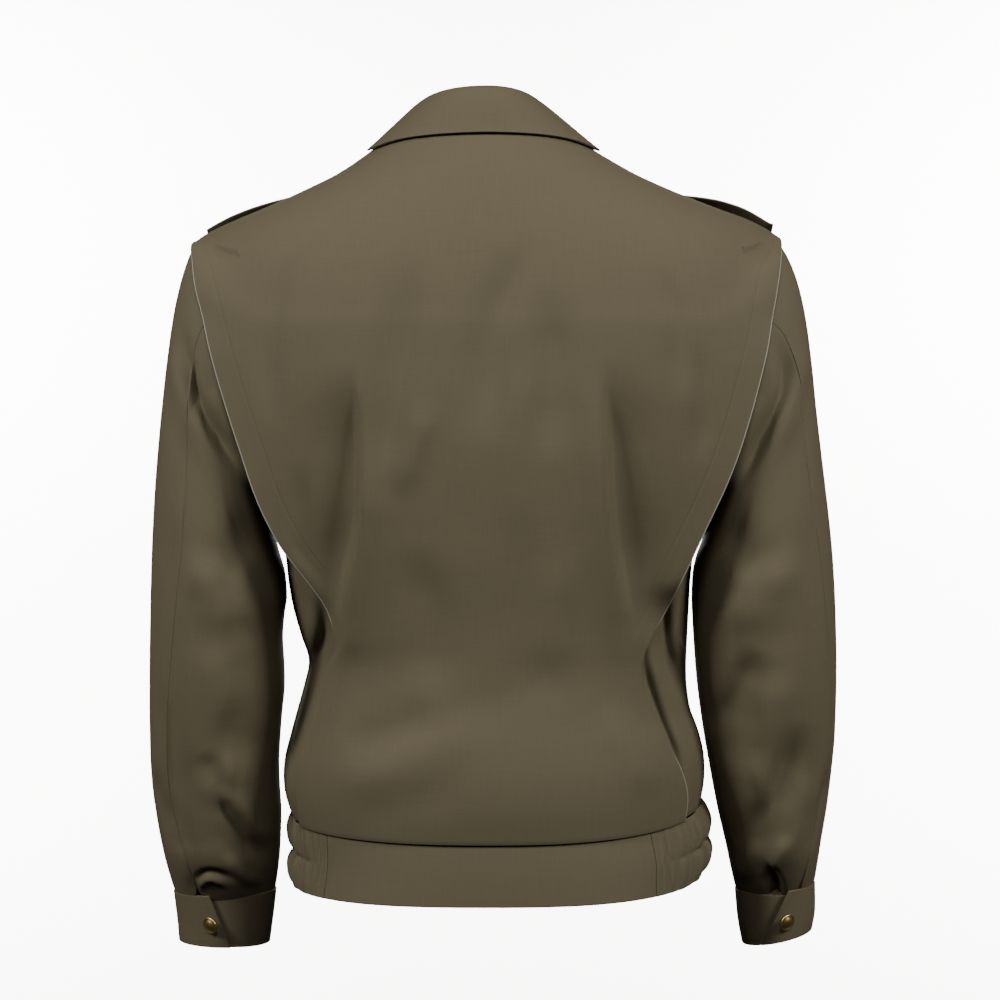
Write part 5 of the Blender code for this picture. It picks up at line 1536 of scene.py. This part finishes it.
class JACKET_OT_zip(bpy.types.Operator):
    """Build the front zip's tapes and teeth and finish its slider and pull"""

    bl_idname = "jacket.zip"
    bl_label = "Front zip"

    def execute(self, context):
        tape = bpy.data.materials[TAPE]
        metal = bpy.data.materials[ZIP_METAL]
        for side, sign in SIDES.items():
            points = zip_points(sign * TAPE_START, sign * (TAPE_START + TAPE_WIDTH), TAPE_DEPTH, 5)
            points = fine_grid(points, *GRIDS["tape"])
            obj = cloth(f"tape_{side}", points, tape, [f"zip_tape_{side}"], TAPE_THICK)
        zip_teeth(metal)
        for name in ("zip_slider", "zip_pull"):
            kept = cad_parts[name]
            kept.data.materials.clear()
            kept.data.materials.append(metal)
        return {"FINISHED"}


def sweep_point(x, run):
    """A point of the sweep: a level floor, a bend, and an upright backdrop."""
    bend_run = SWEEP_BEND * math.pi / 2
    if run > SWEEP_START:
        y, z = run, FLOOR_Z
    elif run > SWEEP_START - bend_run:
        a = (SWEEP_START - run) / SWEEP_BEND
        y, z = SWEEP_START - SWEEP_BEND * math.sin(a), FLOOR_Z + SWEEP_BEND * (1 - math.cos(a))
    else:
        y, z = SWEEP_START - SWEEP_BEND, FLOOR_Z + SWEEP_BEND + (SWEEP_START - bend_run - run)
    return Vector((x, y, z))


class JACKET_OT_stage(bpy.types.Operator):
    """Set the floor, backdrop, lights and camera"""

    bl_idname = "jacket.stage"
    bl_label = "Studio"

    def execute(self, context):
        settings = context.scene.jacket_settings
        bm = bmesh.new()
        bmesh.ops.create_grid(bm, x_segments=SWEEP_STEPS, y_segments=SWEEP_STEPS, size=1.0)
        for vert in bm.verts:
            vert.co = sweep_point(vert.co.x * SWEEP_HALF, vert.co.y * SWEEP_HALF)
        bmesh.ops.recalc_face_normals(bm, faces=bm.faces)
        mesh = bpy.data.meshes.new("studio_sweep")
        bm.to_mesh(mesh)
        bm.free()
        mesh.shade_smooth()
        mesh.materials.append(plain_material("Studio sweep, matt white", "F4F3F0", 0.9))
        sweep = bpy.data.objects.new("studio_sweep", mesh)
        context.scene.collection.objects.link(sweep)
        # The sweep is lit far brighter than the jacket, so its own light is kept off the cloth.
        sweep.visible_diffuse = False
        sweep.visible_glossy = False
        power = settings.light_power
        for side in (1, -1):
            for name, (x, *place), (aim_x, *aim), size, share in PAIRED_LIGHTS:
                place_light(f"{name}_{side}", (side * x, *place), (side * aim_x, *aim), size, power * share)
        for name, place, aim, size, share in SINGLE_LIGHTS:
            place_light(name, place, aim, size, power * share)
        world = bpy.data.worlds.get("Studio") or bpy.data.worlds.new("Studio")
        context.scene.world = world
        world.use_nodes = True
        world.node_tree.nodes["Background"].inputs["Color"].default_value = linear("FFFFFF")
        world.node_tree.nodes["Background"].inputs["Strength"].default_value = WORLD_GLOW
        camera_data = bpy.data.cameras.new("camera")
        camera_data.lens = CAMERA_LENS
        camera_data.sensor_width = CAMERA_SENSOR
        camera = bpy.data.objects.new("camera", camera_data)
        camera.location = CAMERA_PLACE
        camera.rotation_euler = (math.radians(90), 0, math.radians(180))
        context.scene.collection.objects.link(camera)
        context.scene.camera = camera
        return {"FINISHED"}


def place_light(name, place, target, size, power):
    data = bpy.data.lights.new(name, "AREA")
    data.energy = power
    data.size = size
    light = bpy.data.objects.new(name, data)
    light.location = place
    light.rotation_euler = (Vector(target) - Vector(place)).to_track_quat("-Z", "Y").to_euler()
    light.visible_camera = False
    bpy.context.scene.collection.objects.link(light)


class JACKET_OT_materials(bpy.types.Operator):
    """Make the cloth, metal and thread materials"""

    bl_idname = "jacket.materials"
    bl_label = "Materials"

    def execute(self, context):
        serge_material()
        brass_material()
        zip_metal_material()
        tape_material()
        thread_material()
        return {"FINISHED"}


class JACKET_PT_panel(bpy.types.Panel):
    bl_label = "Field Jacket"
    bl_idname = "JACKET_PT_panel"
    bl_space_type = "VIEW_3D"
    bl_region_type = "UI"
    bl_category = "Jacket"

    def draw(self, context):
        settings = context.scene.jacket_settings
        for name in JacketSettings.__annotations__:
            self.layout.prop(settings, name)
        for operator in STEPS:
            self.layout.operator(operator.bl_idname)


STEPS = (
    JACKET_OT_materials,
    JACKET_OT_body,
    JACKET_OT_sleeves,
    JACKET_OT_cuffs,
    JACKET_OT_waistband,
    JACKET_OT_collar,
    JACKET_OT_zip,
    JACKET_OT_stage,
)


def register():
    for made in (JacketSettings, *STEPS, JACKET_PT_panel):
        bpy.utils.register_class(made)
    bpy.types.Scene.jacket_settings = PointerProperty(type=JacketSettings)


def unregister():
    del bpy.types.Scene.jacket_settings
    for made in reversed((JacketSettings, *STEPS, JACKET_PT_panel)):
        bpy.utils.unregister_class(made)


def main():
    register()
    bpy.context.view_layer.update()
    bpy.ops.jacket.materials()
    bpy.ops.jacket.body()
    bpy.ops.jacket.sleeves()
    bpy.ops.jacket.cuffs()
    bpy.ops.jacket.waistband()
    bpy.ops.jacket.collar()
    bpy.ops.jacket.zip()
    bpy.ops.jacket.stage()


if __name__ == "__main__":
    main()
